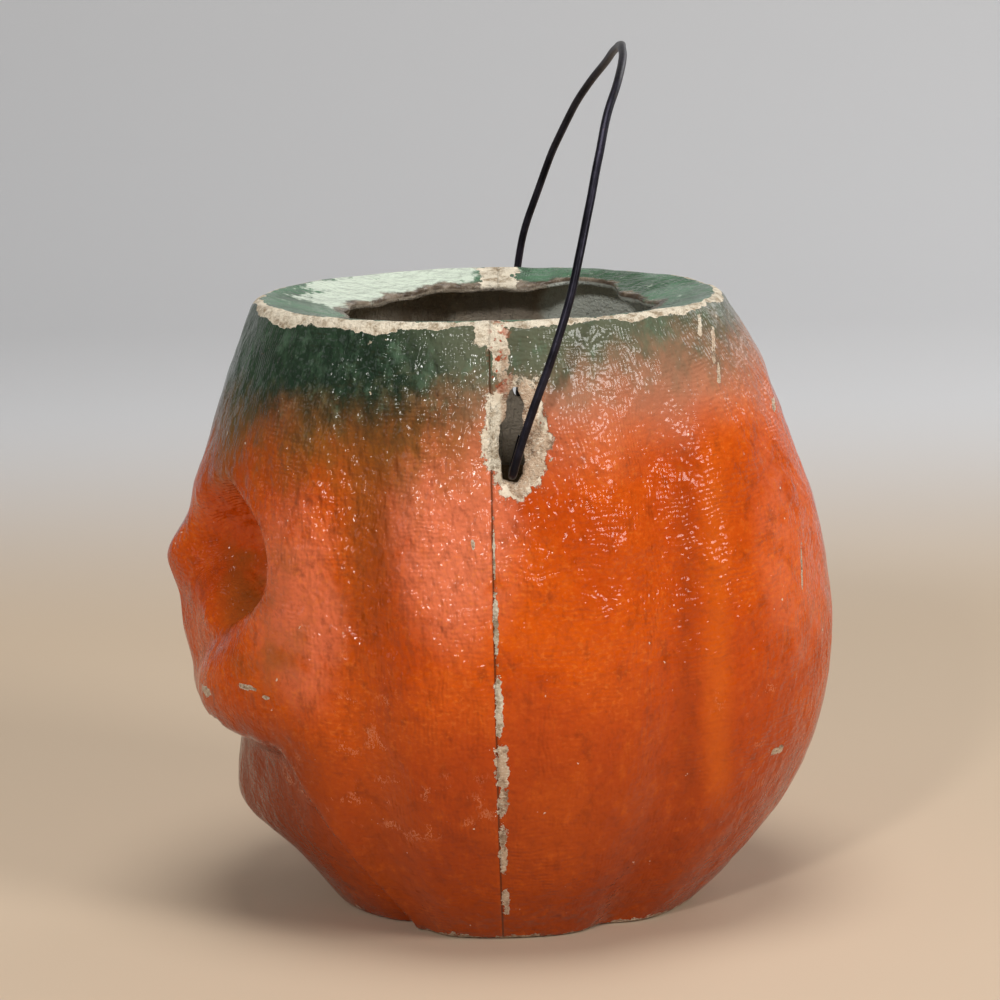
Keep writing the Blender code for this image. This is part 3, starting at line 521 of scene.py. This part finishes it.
def painted_pulp():
    """Gloss orange paint over moulded pulp, green sprayed round the rim, bare where it is chipped or torn."""
    s = Shader("painted_pulp")
    x, y, z = s.axes(s.place)
    spread = s.add("ShaderNodeUVMap", uv_map="spread").outputs["UV"]
    around, along, _ = s.axes(spread)
    cover = s.add("ShaderNodeUVMap", uv_map="cover").outputs["UV"]
    inside, lip_share, _ = s.axes(cover)

    # Oranges: deeper towards the foot, partly as painted shade; painted shade under the chin; salmon patches
    # of painted sheen beside the seam and on the cheek, and a painted reflection along the back edge
    blotch = s.noise(34.0, 4, 0.55)
    paint = s.mix(s.between(blotch, 0.38, 0.66), DEEP_ORANGE, ORANGE)
    # Darker towards the foot: partly a deeper paint, partly painted shade
    low = s.between(s.plus(z, s.times(s.noise(45.0), 0.02)), 0.080, 0.020)
    paint = s.mix(s.times(low, 0.64), paint, BURNT)
    thin = s.noise(90.0, 5, 0.62)
    # Salmon patches: painted sheen beside the seam and on the cheek, and a painted reflection along the back
    # edge
    seam_sheen = s.near((-0.008, 0.098), (0.013, 0.026), 0.9)
    cheek_sheen = s.near((-0.041, 0.076), (0.010, 0.021), 0.9)
    edge_reflection = s.near((0.066, 0.092), (0.010, 0.035), 0.9)
    faded = s.most(s.most(seam_sheen, s.times(cheek_sheen, 0.7)), s.times(edge_reflection, 0.5))
    faded = s.times(faded, s.between(s.plus(thin, s.times(faded, 0.18)), 0.40, 0.62))
    paint = s.mix(s.times(faded, 0.75), paint, SHEEN_SALMON)
    fine = s.noise(300.0, 4, 0.65, s.stretched(1, 1, 0.7))
    paint = s.mix(s.times(s.between(fine, 0.52, 0.75), 0.30), paint, BRIGHT_ORANGE)
    paint = s.mix(s.times(s.between(fine, 0.48, 0.28), 0.40), paint, BURNT)
    ticks = s.noise(760.0, 2, 0.5, s.stretched(1, 1, 1.5))
    ticked = s.times(s.between(z, 0.024, 0.060), s.between(blotch, 0.30, 0.62))
    paint = s.mix(s.times(s.between(ticks, 0.53, 0.70), s.times(ticked, 0.30)), paint, PAINT_TICK)
    paint = s.mix(s.times(s.between(ticks, 0.46, 0.34), 0.12), paint, BURNT)
    # Painted shade under the chin
    chin_shade = s.times(s.between(y, -0.028, -0.050), s.between(z, 0.056, 0.040))
    paint = s.mix(s.times(chin_shade, 0.85), paint, BURNT)

    # The valley between the rear lobes: painted shade in its bottom, a painted highlight on the lobe behind
    # it
    rear_valley = s.plus(s.plus(y, -0.0400), s.times(s.plus(s.noise(60.0, 2), -0.5), 0.003))
    tall = s.times(s.between(z, 0.120, 0.095), s.between(z, 0.022, 0.040))
    valley_shade = s.times(s.between(s.math("ABSOLUTE", rear_valley), 0.0042, 0.0), tall)
    lobe_highlight = s.times(s.between(s.math("ABSOLUTE", s.plus(rear_valley, -0.0060)), 0.0050, 0.0), tall)
    paint = s.mix(s.times(valley_shade, 0.28), paint, BURNT)
    paint = s.mix(s.times(lobe_highlight, 0.45), paint, BRIGHT_ORANGE)

    # Brown overspray runs down the valley in front of each side seam, and clouds the face
    streak = s.noise(70.0, 4, 0.6, s.stretched(1, 1, 0.22))
    valley = s.between(s.math("ABSOLUTE", s.plus(y, 0.0265)), 0.0100, 0.001)
    reach = s.plus(s.between(z, 0.046, 0.116), s.times(s.plus(streak, -0.5), 0.9))
    valley = s.times(valley, s.math("MULTIPLY", reach, 0.72, clamp=True))
    under_rim = s.times(s.between(z, 0.088, 0.112), s.between(y, 0.006, -0.016))
    under_rim = s.times(under_rim, s.between(s.plus(streak, s.times(fine, 0.35)), 0.52, 0.80))
    cloud = s.times(s.near((-0.050, 0.074), (0.010, 0.016), 0.8), s.between(s.noise(80.0, 4), 0.40, 0.60))
    shade = s.most(s.most(valley, under_rim), s.times(cloud, 0.6))
    paint = s.mix(s.math("MULTIPLY", shade, 0.9, clamp=True), paint, OCHRE)

    # Green airbrushed down from the rim: a soft fade, lower over the face than at the back
    drift = s.times(s.plus(s.noise(46.0, 3, 0.6), -0.5), 0.016)
    edge = s.plus(s.plus(s.times(y, 0.11), 0.1172), drift)
    depth = s.plus(z, s.times(edge, -1.0))
    green = s.mix(s.between(s.plus(y, s.times(streak, 0.02)), -0.016, 0.010), GREEN, TEAL)
    dark = s.times(s.near((-0.030, 0.118), (0.022, 0.017), 0.8), s.between(fine, 0.34, 0.52))
    green = s.mix(s.times(dark, 0.90), green, DARK_GREEN)
    rubbed = s.between(s.noise(210.0, 5, 0.7, s.stretched(1, 1, 0.6)), 0.50, 0.68)
    green = s.mix(s.times(rubbed, 0.45), green, SAGE)
    mist = s.mix(s.between(y, -0.012, 0.008), OCHRE, FADED)
    paint = s.mix(s.times(s.between(depth, -0.018, 0.002), 0.60), paint, mist)
    sprayed = s.between(s.plus(depth, s.times(s.plus(fine, -0.5), 0.012)), -0.0065, 0.0105)
    paint = s.mix(sprayed, paint, green)

    # The lip: green, rubbed to a pale mint on the far left, browned along its torn edge
    lip = s.mix(s.between(s.noise(55.0, 4, 0.6), 0.36, 0.58), LIP_GREEN, LIP_PALE_GREEN)
    mint_place = s.times(s.near((-0.024, 0.130), (0.018, 0.03), 0.7), s.between(x, 0.004, -0.012))
    rub_bias = s.plus(s.times(mint_place, 0.30), -0.075)
    rubbed = s.between(s.plus(s.noise(120.0, 5, 0.68), rub_bias), 0.52, 0.62)
    lip = s.mix(rubbed, lip, MINT)
    worn_edge = s.plus(s.noise(120.0, 5, 0.65), s.times(s.near((0.0, 0.130), (0.016, 0.03), 0.8), 0.10))
    stain = s.between(s.plus(lip_share, s.times(worn_edge, 0.9)), 1.26, 1.40)
    lip = s.mix(stain, lip, s.mix(s.between(s.noise(300.0, 4), 0.4, 0.6), PULP_DARK, LIP_STAIN))
    paint = s.mix(s.between(along, -0.0002, 0.0012), paint, lip)

    # Pale flecks and hairline cracks
    specks = s.between(s.noise(620.0, 2, 0.5), 0.735, 0.765)
    fleck = s.times(specks, s.between(s.noise(75.0, 2), 0.50, 0.60))
    bent = s.add("ShaderNodeVectorMath", operation="ADD")
    s.feed(bent.inputs[0], s.place)
    wave = s.add("ShaderNodeTexNoise")
    wave.inputs["Scale"].default_value = 160.0
    shift = s.add("ShaderNodeVectorMath", operation="SCALE")
    shift.inputs["Scale"].default_value = 0.006
    s.feed(shift.inputs[0], wave.outputs["Color"])
    s.feed(bent.inputs[1], shift.outputs[0])
    crack = s.between(s.cell_edges(95.0, bent.outputs[0]), 0.036, 0.014)
    across_jaw = s.near((-0.024, 0.036), (0.024, 0.010), 0.5)
    up_cheek = s.near((-0.027, 0.048), (0.007, 0.024), 0.5)
    at_back = s.near((0.0535, 0.051), (0.008, 0.009), 0.5)
    crack_places = s.most(s.most(across_jaw, up_cheek), at_back)
    crack = s.times(s.times(crack, crack_places), s.between(s.noise(170.0, 3), 0.50, 0.62))
    paint = s.mix(s.times(fleck, 0.75), paint, CREAM)
    paint = s.mix(s.times(crack, 0.50), paint, CRACKED)
    seam_line = s.between(s.math("ABSOLUTE", y), 0.00030, 0.00010)
    paint = s.mix(s.times(seam_line, 0.75), paint, SEAM_SHADOW)

    # Where paint is gone: the rim's corner, the torn hole, chips along the seams and the foot
    fine_edge = s.plus(s.noise(430.0, 5, 0.72), -0.5)
    broad_edge = s.plus(s.noise(120.0, 3, 0.6), -0.5)
    far = s.times(s.between(x, 0.010, -0.010), -9.0)
    torn = s.plus(s.plus(s.inside_oval(*TORN_HOLE), s.times(fine_edge, 0.9)), s.times(broad_edge, 0.9))
    chips = s.plus(torn, far)
    for place in (HOLE_STRIP, RIM_FLAKE):
        patch = s.plus(s.inside_oval(*place), s.plus(s.times(fine_edge, 2.2), s.times(broad_edge, 1.0)))
        chips = s.most(chips, s.plus(patch, far))
    for place in SEAM_CHIPS:
        patch = s.plus(s.inside_oval(*place), s.plus(s.times(fine_edge, 3.6), s.times(broad_edge, 2.2)))
        chips = s.most(chips, patch)
    for place in SMALL_CHIPS:
        patch = s.plus(s.inside_oval(*place), s.times(fine_edge, 3.0))
        chips = s.most(chips, s.plus(patch, far))
    heavy = s.near((-0.033, 0.130), (0.016, 0.03), 0.6)
    hang = s.plus(s.plus(s.times(heavy, 0.0017), 0.0010), s.times(fine_edge, 0.0026))
    hang = s.plus(hang, s.times(s.plus(s.noise(70.0, 4, 0.65), -0.5), 0.0060))
    on_top = s.plus(s.plus(0.0011, s.times(fine_edge, 0.0020)), s.times(broad_edge, 0.0036))
    rim = s.math("MINIMUM", s.plus(along, hang), s.math("SUBTRACT", on_top, along))
    foot = s.math("SUBTRACT", s.plus(0.0009, s.times(s.plus(broad_edge, fine_edge), 0.0050)), z)
    on_ring = s.between(s.plus(s.times(x, x), s.times(y, y)), 0.0013, 0.0014)
    foot = s.plus(foot, s.plus(on_ring, -1.0))
    chips = s.most(chips, s.most(s.times(rim, 700.0), s.times(foot, 700.0)))
    ragged_edge = s.times(s.plus(fine_edge, broad_edge), 1.6)
    far_seam = s.plus(s.inside_oval(*FAR_SEAM_CHIP), ragged_edge)
    chips = s.most(chips, s.plus(far_seam, s.times(s.between(x, -0.010, 0.010), -9.0)))
    ground = s.between(chips, -0.04, 0.04)
    bared = s.between(s.plus(chips, s.times(s.plus(s.noise(210.0, 3), -0.5), 0.8)), 0.04, 0.14)
    colour = s.mix(ground, paint, CREAM)
    colour = s.mix(bared, colour, pulp_colour(s))
    spots = s.times(s.inside_oval(*PAINT_SPOTS), s.between(s.noise(480.0, 3), 0.54, 0.60))
    colour = s.mix(s.math("MULTIPLY", s.plus(spots, far), 1.6, clamp=True), colour, PAINT_LEFT)

    # The inside: brown pulp at the face and the seam, a pale grey-green wash at the back; all of it is
    # painted paler, as painted light standing in for the light that falls in through the opening
    stains = s.noise(60.0, 5, 0.6)
    brown = s.mix(s.between(stains, 0.36, 0.62), LIT_INSIDE_BROWN, LIT_INSIDE_TAN)
    pale = s.mix(s.between(stains, 0.36, 0.62), LIT_WASH_GREY, LIT_WASH_PALE)
    wash = s.mix(s.between(s.plus(y, s.times(s.plus(stains, -0.5), 0.02)), 0.008, 0.014), brown, pale)
    strip = s.between(s.plus(s.math("ABSOLUTE", y), s.times(s.plus(stains, -0.5), 0.012)), 0.0085, 0.0060)
    wash = s.mix(strip, wash, STRIP_BROWN)
    wash = s.mix(s.times(s.between(s.noise(240.0, 4, 0.7), 0.55, 0.75), 0.6), wash, INSIDE_SPOT)
    colour = s.mix(s.between(inside, 0.3, 0.7), colour, wash)
    s.set("Base Color", colour)

    # Screen imprint, wrinkles and grain
    pitch = 2 * math.pi / SCREEN_PITCH
    bend = s.times(s.plus(s.noise(90.0, 3), -0.5), 0.0045)
    rows = s.math("SINE", s.times(s.plus(s.plus(along, s.times(s.noise(260.0, 2), 0.0008)), bend), pitch))
    lines = s.math("SINE", s.times(s.plus(s.plus(around, s.times(s.noise(240.0, 2), 0.0010)), bend), pitch))
    share = s.between(s.noise(40.0, 2, 0.5, s.stretched(1, 1.3, 1)), 0.40, 0.60)
    woven = s.times(s.plus(s.times(share, 0.5), 0.35), rows)
    weave = s.plus(woven, s.times(s.plus(s.times(share, -0.5), 0.85), lines))
    imprint = s.times(s.between(s.noise(120.0, 3), 0.32, 0.60), s.between(ground, 0.5, 0.0))
    crumpled = s.near((-0.018, 0.100), (0.034, 0.036), 0.9)
    wrinkles = s.noise(430.0, 1.6, 0.5, s.stretched(1, 1, 0.62))
    raw = s.most(bared, s.between(inside, 0.3, 0.7))
    relief = s.bump(weave, SCREEN_RISE, imprint)
    relief = s.bump(wrinkles, WRINKLE_RISE, s.plus(0.19, s.times(crumpled, 0.79)), relief)
    relief = s.bump(s.noise(700.0, 1.0, 0.5), RIPPLE_RISE, 1.0, relief)
    relief = s.bump(s.noise(130.0, 3, 0.5), DIMPLE_RISE, 1.0, relief)
    relief = s.bump(s.noise(58.0, 2, 0.5), DENT_RISE, 1.0, relief)
    normal = s.bump(s.noise(1300.0, 3, 0.7), GRAIN_RISE, raw, relief)
    normal = s.bump(ground, -PAINT_FILM, 1.0, normal)
    s.set("Normal", normal)

    # Gloss: a thin clear film over matt paint, gone where the pulp is bare
    bare = s.most(raw, ground)
    s.set("Roughness", s.math("ADD", 0.50, s.times(bare, 0.40), clamp=True))
    s.set("Specular IOR Level", s.times(bare, 0.30))
    s.set("Coat Weight", s.math("SUBTRACT", 1.0, bare, clamp=True))
    s.set("Coat Roughness", s.plus(0.10, s.times(s.noise(85.0, 3), 0.12)))
    s.set("Coat IOR", 1.31)
    s.set("Coat Normal", relief)
    return s.material


def raw_pulp():
    """Torn or cut pulp, as in the openings' edges."""
    s = Shader("raw_pulp", 0.9)
    # Tan, with darker patches painted as the shade in the pulp's hollows
    s.set("Base Color", s.mix(s.between(s.noise(300.0, 4, 0.7), 0.35, 0.6), RAW_HOLLOW_SHADE, TAN))
    s.set("Normal", s.bump(s.noise(900.0, 4, 0.7), 0.0006))
    return s.material


def aged_paper(name, light, dark):
    """Thin paper, foxed and faded, with a fine fibre grain."""
    s = Shader(name, 0.8)
    colour = s.mix(s.between(s.noise(60.0, 4, 0.6), 0.35, 0.65), dark, light)
    fibres = s.noise(700.0, 4, 0.7, s.stretched(1, 1, 3))
    colour = s.mix(s.times(s.between(fibres, 0.55, 0.75), 0.5), colour, CREAM)
    foxing = s.between(s.noise(220.0, 2), 0.66, 0.74)
    s.set("Base Color", s.mix(s.times(foxing, 0.7), colour, (0.22, 0.11, 0.04)))
    s.set("Normal", s.bump(fibres, 0.00025))
    s.set("Roughness", s.plus(0.7, s.times(fibres, 0.2)))
    return s.material


def board():
    s = Shader("grey_board", 0.85)
    colour = s.mix(s.between(s.noise(90.0, 4, 0.6), 0.35, 0.65), (0.23, 0.17, 0.10), (0.36, 0.27, 0.17))
    fibres = s.noise(900.0, 4, 0.7)
    s.set("Base Color", s.mix(s.times(s.between(fibres, 0.5, 0.8), 0.5), colour, (0.5, 0.42, 0.30)))
    s.set("Normal", s.bump(fibres, 0.0004))
    return s.material


def worn_metal(name, bright, dull, spotted, roughness):
    """Sheet or wire metal with dull patches and spots of rust."""
    s = Shader(name, roughness, 1.0)
    patches = s.noise(180.0, 4, 0.6)
    colour = s.mix(s.between(patches, 0.35, 0.65), dull, bright)
    rust = s.between(s.noise(420.0, 4, 0.65), 0.64, 0.72)
    s.set("Base Color", s.mix(s.times(rust, 0.8), colour, spotted))
    s.set("Metallic", s.plus(1.0, s.times(rust, -0.7)))
    duller = s.plus(roughness, s.times(patches, 0.18))
    s.set("Roughness", s.math("ADD", duller, s.times(rust, 0.3), clamp=True))
    s.set("Normal", s.bump(s.noise(1400.0, 3), 0.00006))
    return s.material


def dark_wire():
    """Dark annealed wire with a thin, slightly blue scale and drawn scratches."""
    s = Shader("dark_wire", 0.36, 0.85)
    patches = s.noise(140.0, 4, 0.6)
    colour = s.mix(s.between(patches, 0.35, 0.65), (0.010, 0.009, 0.014), (0.030, 0.027, 0.042))
    rust = s.between(s.noise(380.0, 4, 0.65), 0.66, 0.74)
    s.set("Base Color", s.mix(s.times(rust, 0.6), colour, (0.09, 0.045, 0.025)))
    s.set("Roughness", s.plus(0.30, s.times(patches, 0.22)))
    s.set("Normal", s.bump(s.noise(900.0, 3, 0.6), 0.00008))
    return s.material


def cutter(name, outline, start, end, axis):
    """An outline pushed from start to end, along X with (y, z) points or along Y with (x, z) points."""
    bm = bmesh.new()
    corners = [(start, a, b) if axis == "X" else (a, start, b) for a, b in outline]
    face = bm.faces.new([bm.verts.new(corner) for corner in corners])
    grown = bmesh.ops.extrude_face_region(bm, geom=[face])["geom"]
    along = Vector((1, 0, 0)) if axis == "X" else Vector((0, 1, 0))
    pushed = [part for part in grown if isinstance(part, bmesh.types.BMVert)]
    bmesh.ops.translate(bm, verts=pushed, vec=along * (end - start))
    bmesh.ops.recalc_face_normals(bm, faces=bm.faces)
    mesh = bpy.data.meshes.new(name)
    bm.to_mesh(mesh)
    bm.free()
    mesh.materials.append(PAINTED)
    mesh.materials.append(RAW_PULP)
    mesh.polygons.foreach_set("material_index", [1] * len(mesh.polygons))
    made = bpy.data.objects.new(name, mesh)
    bpy.context.scene.collection.objects.link(made)
    return made


def cut_away(skin, tools):
    """Cuts the openings through a skin, for good, and removes the tools."""
    for tool in tools:
        modifier = skin.modifiers.new(tool.name, "BOOLEAN")
        modifier.operation = "DIFFERENCE"
        modifier.solver = "EXACT"
        modifier.material_mode = "INDEX"
        modifier.object = tool
    depsgraph = bpy.context.evaluated_depsgraph_get()
    cut = bpy.data.meshes.new_from_object(skin.evaluated_get(depsgraph))
    skin.modifiers.clear()
    skin.data = cut
    for tool in tools:
        bpy.data.objects.remove(tool)
    for polygon in cut.polygons:
        polygon.use_smooth = polygon.material_index == 0


def ragged(outline, amount, scale, seed):
    """The outline with more points, each pushed about a little."""
    points = []
    for (a, b), (c, d) in zip(outline, outline[1:] + outline[:1]):
        steps = max(1, round(math.hypot(c - a, d - b) / 0.0007))
        for step in range(steps):
            share = step / steps
            points.append((a + (c - a) * share, b + (d - b) * share))
    pushed = []
    for a, b in points:
        where = Vector((a * scale, b * scale, seed))
        pushed.append((a + amount * noise.noise(where), b + amount * noise.noise(where + Vector((9, 4, 2)))))
    return pushed


def oval(centre, half_width, half_height, steps=48):
    turns = [2 * math.pi * step / steps for step in range(steps)]
    return [(centre[0] + half_width * math.cos(turn), centre[1] + half_height * math.sin(turn))
            for turn in turns]


def mouth_outline():
    steps = 40
    shares = [-1 + 2 * step / steps for step in range(steps + 1)]
    corner = MOUTH_TOP + MOUTH_CORNER_LIFT
    lower = [(MOUTH_HALF_WIDTH * share, corner - MOUTH_CORNER_OPEN - MOUTH_DROP * math.sqrt(1 - share**2))
             for share in shares]
    upper = [(MOUTH_HALF_WIDTH * share, MOUTH_TOP + MOUTH_CORNER_LIFT * abs(share))
             for share in reversed(shares)]
    return lower + upper


def slot_outline():
    """The bail hole at +X: a round bottom where the wire bears, torn up to a ragged point."""
    turns = [math.radians(turn) for turn in range(-180, 1, 30)]
    bottom = [(hinge.y + SLOT_RADIUS * math.cos(turn), hinge.z + SLOT_RADIUS * math.sin(turn))
              for turn in turns]
    rise = SLOT_TOP - hinge.z
    return bottom + [(hinge.y + SLOT_RADIUS * across, hinge.z + rise * up) for across, up in SLOT_EDGE]


def dress_shells():
    """A fine skin for each half of the pulp, in place of the coarse solids."""
    columns = round(math.pi * SIDE_WIDEST / SKIN_STEP)
    shares = np.linspace(-1, 1, columns + 1)
    face = math.pi / 2 * shares * (0.80 + 0.20 * shares**2)
    back = np.linspace(math.pi / 2, 3 * math.pi / 2, columns + 1)
    front = fine_half("front_pulp", face, SEAM_OVERLAP)
    rear = fine_half("rear_pulp", back, -SEAM_OVERLAP)
    front_tools = [cutter("mouth_tool", ragged(mouth_outline(), 0.0007, 300, 3), *FACE_CUT, "Y")]
    for side in (1, -1):
        outline = oval((side * SOCKET_SIDE, SOCKET_HEIGHT), EYE_HALF_WIDTH, EYE_HALF_HEIGHT)
        front_tools.append(cutter("eye_tool", ragged(outline, 0.0006, 350, side), *FACE_CUT, "Y"))
    cut_away(front, front_tools)
    punched = oval((hinge.y, hinge.z), PUNCHED_HOLE, PUNCHED_HOLE, 24)
    near_side, far_side = SIDE_CUT, (-SIDE_CUT[1], -SIDE_CUT[0])
    cut_away(rear, [cutter("slot_tool", ragged(slot_outline(), 0.0007, 500, 5), *near_side, "X"),
                    cutter("hole_tool", ragged(punched, 0.0003, 600, 7), *far_side, "X")])
    for skin, node in ((front, "front_shell"), (rear, "rear_shell")):
        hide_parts(node)
        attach(skin, "lantern")


def repaint(node, material):
    """Gives a CAD node its finish in place of its plain colour."""
    shown = nodes[node]
    shown.data.materials.clear()
    shown.data.materials.append(material)


def stage_set():
    """Pale floor that curves up into a backdrop, soft lamps, and the photograph's camera."""
    bm = bmesh.new()
    turns = [math.radians(turn) for turn in range(10, 91, 10)]
    sweep = [(FLOOR_BACK + SWEEP_RADIUS * math.sin(turn), SWEEP_RADIUS - SWEEP_RADIUS * math.cos(turn))
             for turn in turns]
    profile = [(-FLOOR_REACH, 0.0), (FLOOR_BACK, 0.0), *sweep, (FLOOR_BACK + SWEEP_RADIUS, BACKDROP_TOP)]
    rows = [[bm.verts.new((-across, along, height)) for across, height in profile]
            for along in (-FLOOR_REACH, FLOOR_REACH)]
    for step in range(len(profile) - 1):
        bm.faces.new((rows[0][step], rows[0][step + 1], rows[1][step + 1], rows[1][step]))
    mesh = bpy.data.meshes.new("floor")
    bm.to_mesh(mesh)
    bm.free()
    mesh.shade_smooth()
    floor = bpy.data.objects.new("floor", mesh)
    bpy.context.scene.collection.objects.link(floor)
    s = Shader("floor", 0.8)
    away, _, _ = s.axes(s.place)
    s.set("Base Color", s.mix(s.between(away, -0.25, -0.75), FLOOR_WOOD, BACKDROP_GREY))
    mesh.materials.append(s.material)

    for name, place, aim, size, watts, tint in (
            ("window", (0.80, 0.98, 0.72), (0, 0, 0.07), 0.46, 9.0, (1.0, 0.98, 0.95)),
            ("near_lamp", (1.10, -0.32, 0.62), (0, 0, 0.08), 0.12, 5.0, (1.0, 0.98, 0.95)),
            ("ceiling", (0.15, 0.05, 1.35), (0, 0, 0.08), 0.7, 9.5, (1.0, 0.99, 0.97)),
            ("room", (0.40, -1.30, 0.50), (0, 0, 0.07), 0.5, 1.0, (0.96, 0.98, 1.0)),
            ("far_side", (-1.0, 0.8, 0.8), (0, 0, 0.07), 0.8, 3.5, (1.0, 1.0, 1.0))):
        lamp = bpy.data.lights.new(name, "AREA")
        lamp.shape = "DISK"
        lamp.size = size
        lamp.energy = watts
        lamp.color = tint
        made = bpy.data.objects.new(name, lamp)
        made.location = place
        made.rotation_euler = (Vector(aim) - Vector(place)).to_track_quat("-Z", "Y").to_euler()
        bpy.context.scene.collection.objects.link(made)

    world = bpy.data.worlds.new("room")
    bpy.context.scene.world = world
    world.use_nodes = True
    world.node_tree.nodes["Background"].inputs["Color"].default_value = (0.92, 0.95, 1.0, 1.0)
    world.node_tree.nodes["Background"].inputs["Strength"].default_value = 0.12
    bpy.context.scene.view_settings.view_transform = "Standard"

    lens = bpy.data.cameras.new("camera")
    lens.lens = LENS
    lens.sensor_width = SENSOR
    lens.clip_start = 0.05
    camera = bpy.data.objects.new("camera", lens)
    turn, pitch, roll = (math.radians(value) for value in (CAMERA_TURN, CAMERA_PITCH, CAMERA_ROLL))
    outward, aside = Vector((math.cos(turn), math.sin(turn), 0)), Vector((-math.sin(turn), math.cos(turn), 0))
    ahead = -outward * math.cos(pitch) - Vector((0, 0, math.sin(pitch)))
    camera.rotation_mode = "QUATERNION"
    camera.rotation_quaternion = ahead.to_track_quat("-Z", "Y") @ Quaternion((0, 0, 1), -roll)
    camera.location = outward * CAMERA_REACH + aside * CAMERA_SHIFT + Vector((0, 0, CAMERA_HEIGHT))
    bpy.context.scene.collection.objects.link(camera)
    bpy.context.scene.camera = camera


def smooth_between(a, b, c, d, share):
    """Point on the smooth curve from b to c, whose neighbours are a and d."""
    return 0.5 * (2 * b + (c - a) * share + (2 * a - 5 * b + 4 * c - d) * share**2
                  + (3 * b - a - 3 * c + d) * share**3)


def bail_route():
    """The wire's middle line: hook, near leg, crown, far leg, hook."""
    lean = math.radians(BAIL_LEAN)
    up = Vector((0, math.sin(lean), math.cos(lean)))
    backwards = Vector((0, math.cos(lean), -math.sin(lean)))

    half_span = float(side_reach(hinge.z)) + WIRE_OUTSIDE
    hook_plane = float(side_reach(hinge.z)) - WALL - HOOK_INSIDE

    def leg(side, bows):
        return [Vector((side * half_span * out, 0, 0)) + (up * rise + backwards * bow) * BAIL_RISE
                for (out, rise), bow in zip(ARCH, bows)]

    def hook(side):
        out = Vector((side, 0, 0))
        points = [out * hook_plane + up * HOOK_RISE]
        for centre, first in ((hook_plane + WIRE_BEND, 180), (half_span - WIRE_BEND, 270)):
            for turn in range(first, first + 91, 15):
                angle = math.radians(turn)
                rise = WIRE_BEND + WIRE_BEND * math.sin(angle)
                points.append(out * (centre + WIRE_BEND * math.cos(angle)) + up * rise)
        return points

    near_hook, far_hook = hook(1), hook(-1)
    arch = leg(1, LEG_BOW_NEAR) + [(up + backwards * CROWN_BOW) * BAIL_RISE] + leg(-1, LEG_BOW_FAR)[::-1]
    knots = [near_hook[-1]] + arch + [far_hook[-1]]
    route = list(near_hook)
    for i in range(len(knots) - 1):
        before, after = knots[max(i - 1, 0)], knots[min(i + 2, len(knots) - 1)]
        for step in range(1, WIRE_STEPS + 1):
            point = smooth_between(before, knots[i], knots[i + 1], after, step / WIRE_STEPS)
            from_ends = min((point - route[0]).length, (point - far_hook[-1]).length)
            free = min(1.0, from_ends / STRAIGHT_END)
            where = point * KINK_SCALE
            kink = Vector((0, noise.noise(where), noise.noise(where + Vector((3, 1, 7)))))
            route.append(point + kink * WIRE_KINK * free)
    return [hinge + point for point in route + far_hook[-2::-1]]


def dress_bail():
    """The wire with round section and its small hand-bent kinks, in place of the coarse one."""
    wire = bpy.data.curves.new("bail_wire", "CURVE")
    wire.dimensions = "3D"
    wire.bevel_depth = WIRE_RADIUS
    wire.bevel_resolution = 6
    wire.use_fill_caps = True
    route = bail_route()
    spline = wire.splines.new("POLY")
    spline.points.add(len(route) - 1)
    for point, place in zip(spline.points, route):
        point.co = (*place, 1.0)
    spline.use_smooth = True
    wire.materials.append(dark_wire())
    made = bpy.data.objects.new("bail_wire", wire)
    bpy.context.scene.collection.objects.link(made)
    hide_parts("bail")
    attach(made, "handle")


PAINTED = painted_pulp()
RAW_PULP = raw_pulp()
dress_shells()
dress_bail()
kraft = aged_paper("kraft_paper", (0.34, 0.24, 0.13), (0.20, 0.13, 0.07))
yellow = aged_paper("yellow_paper", (0.66, 0.42, 0.10), (0.42, 0.20, 0.05))
for node in ("left_seam_tape", "right_seam_tape"):
    repaint(node, kraft)
for node in ("left_eye_paper", "right_eye_paper", "mouth_paper"):
    repaint(node, yellow)
repaint("floor_disc", board())
repaint("candle_cup", worn_metal("tin", (0.42, 0.42, 0.40), (0.22, 0.21, 0.20), (0.16, 0.07, 0.03), 0.35))
repaint("split_brad", worn_metal("brass", (0.50, 0.34, 0.12), (0.24, 0.15, 0.06), (0.08, 0.10, 0.06), 0.32))
stage_set()
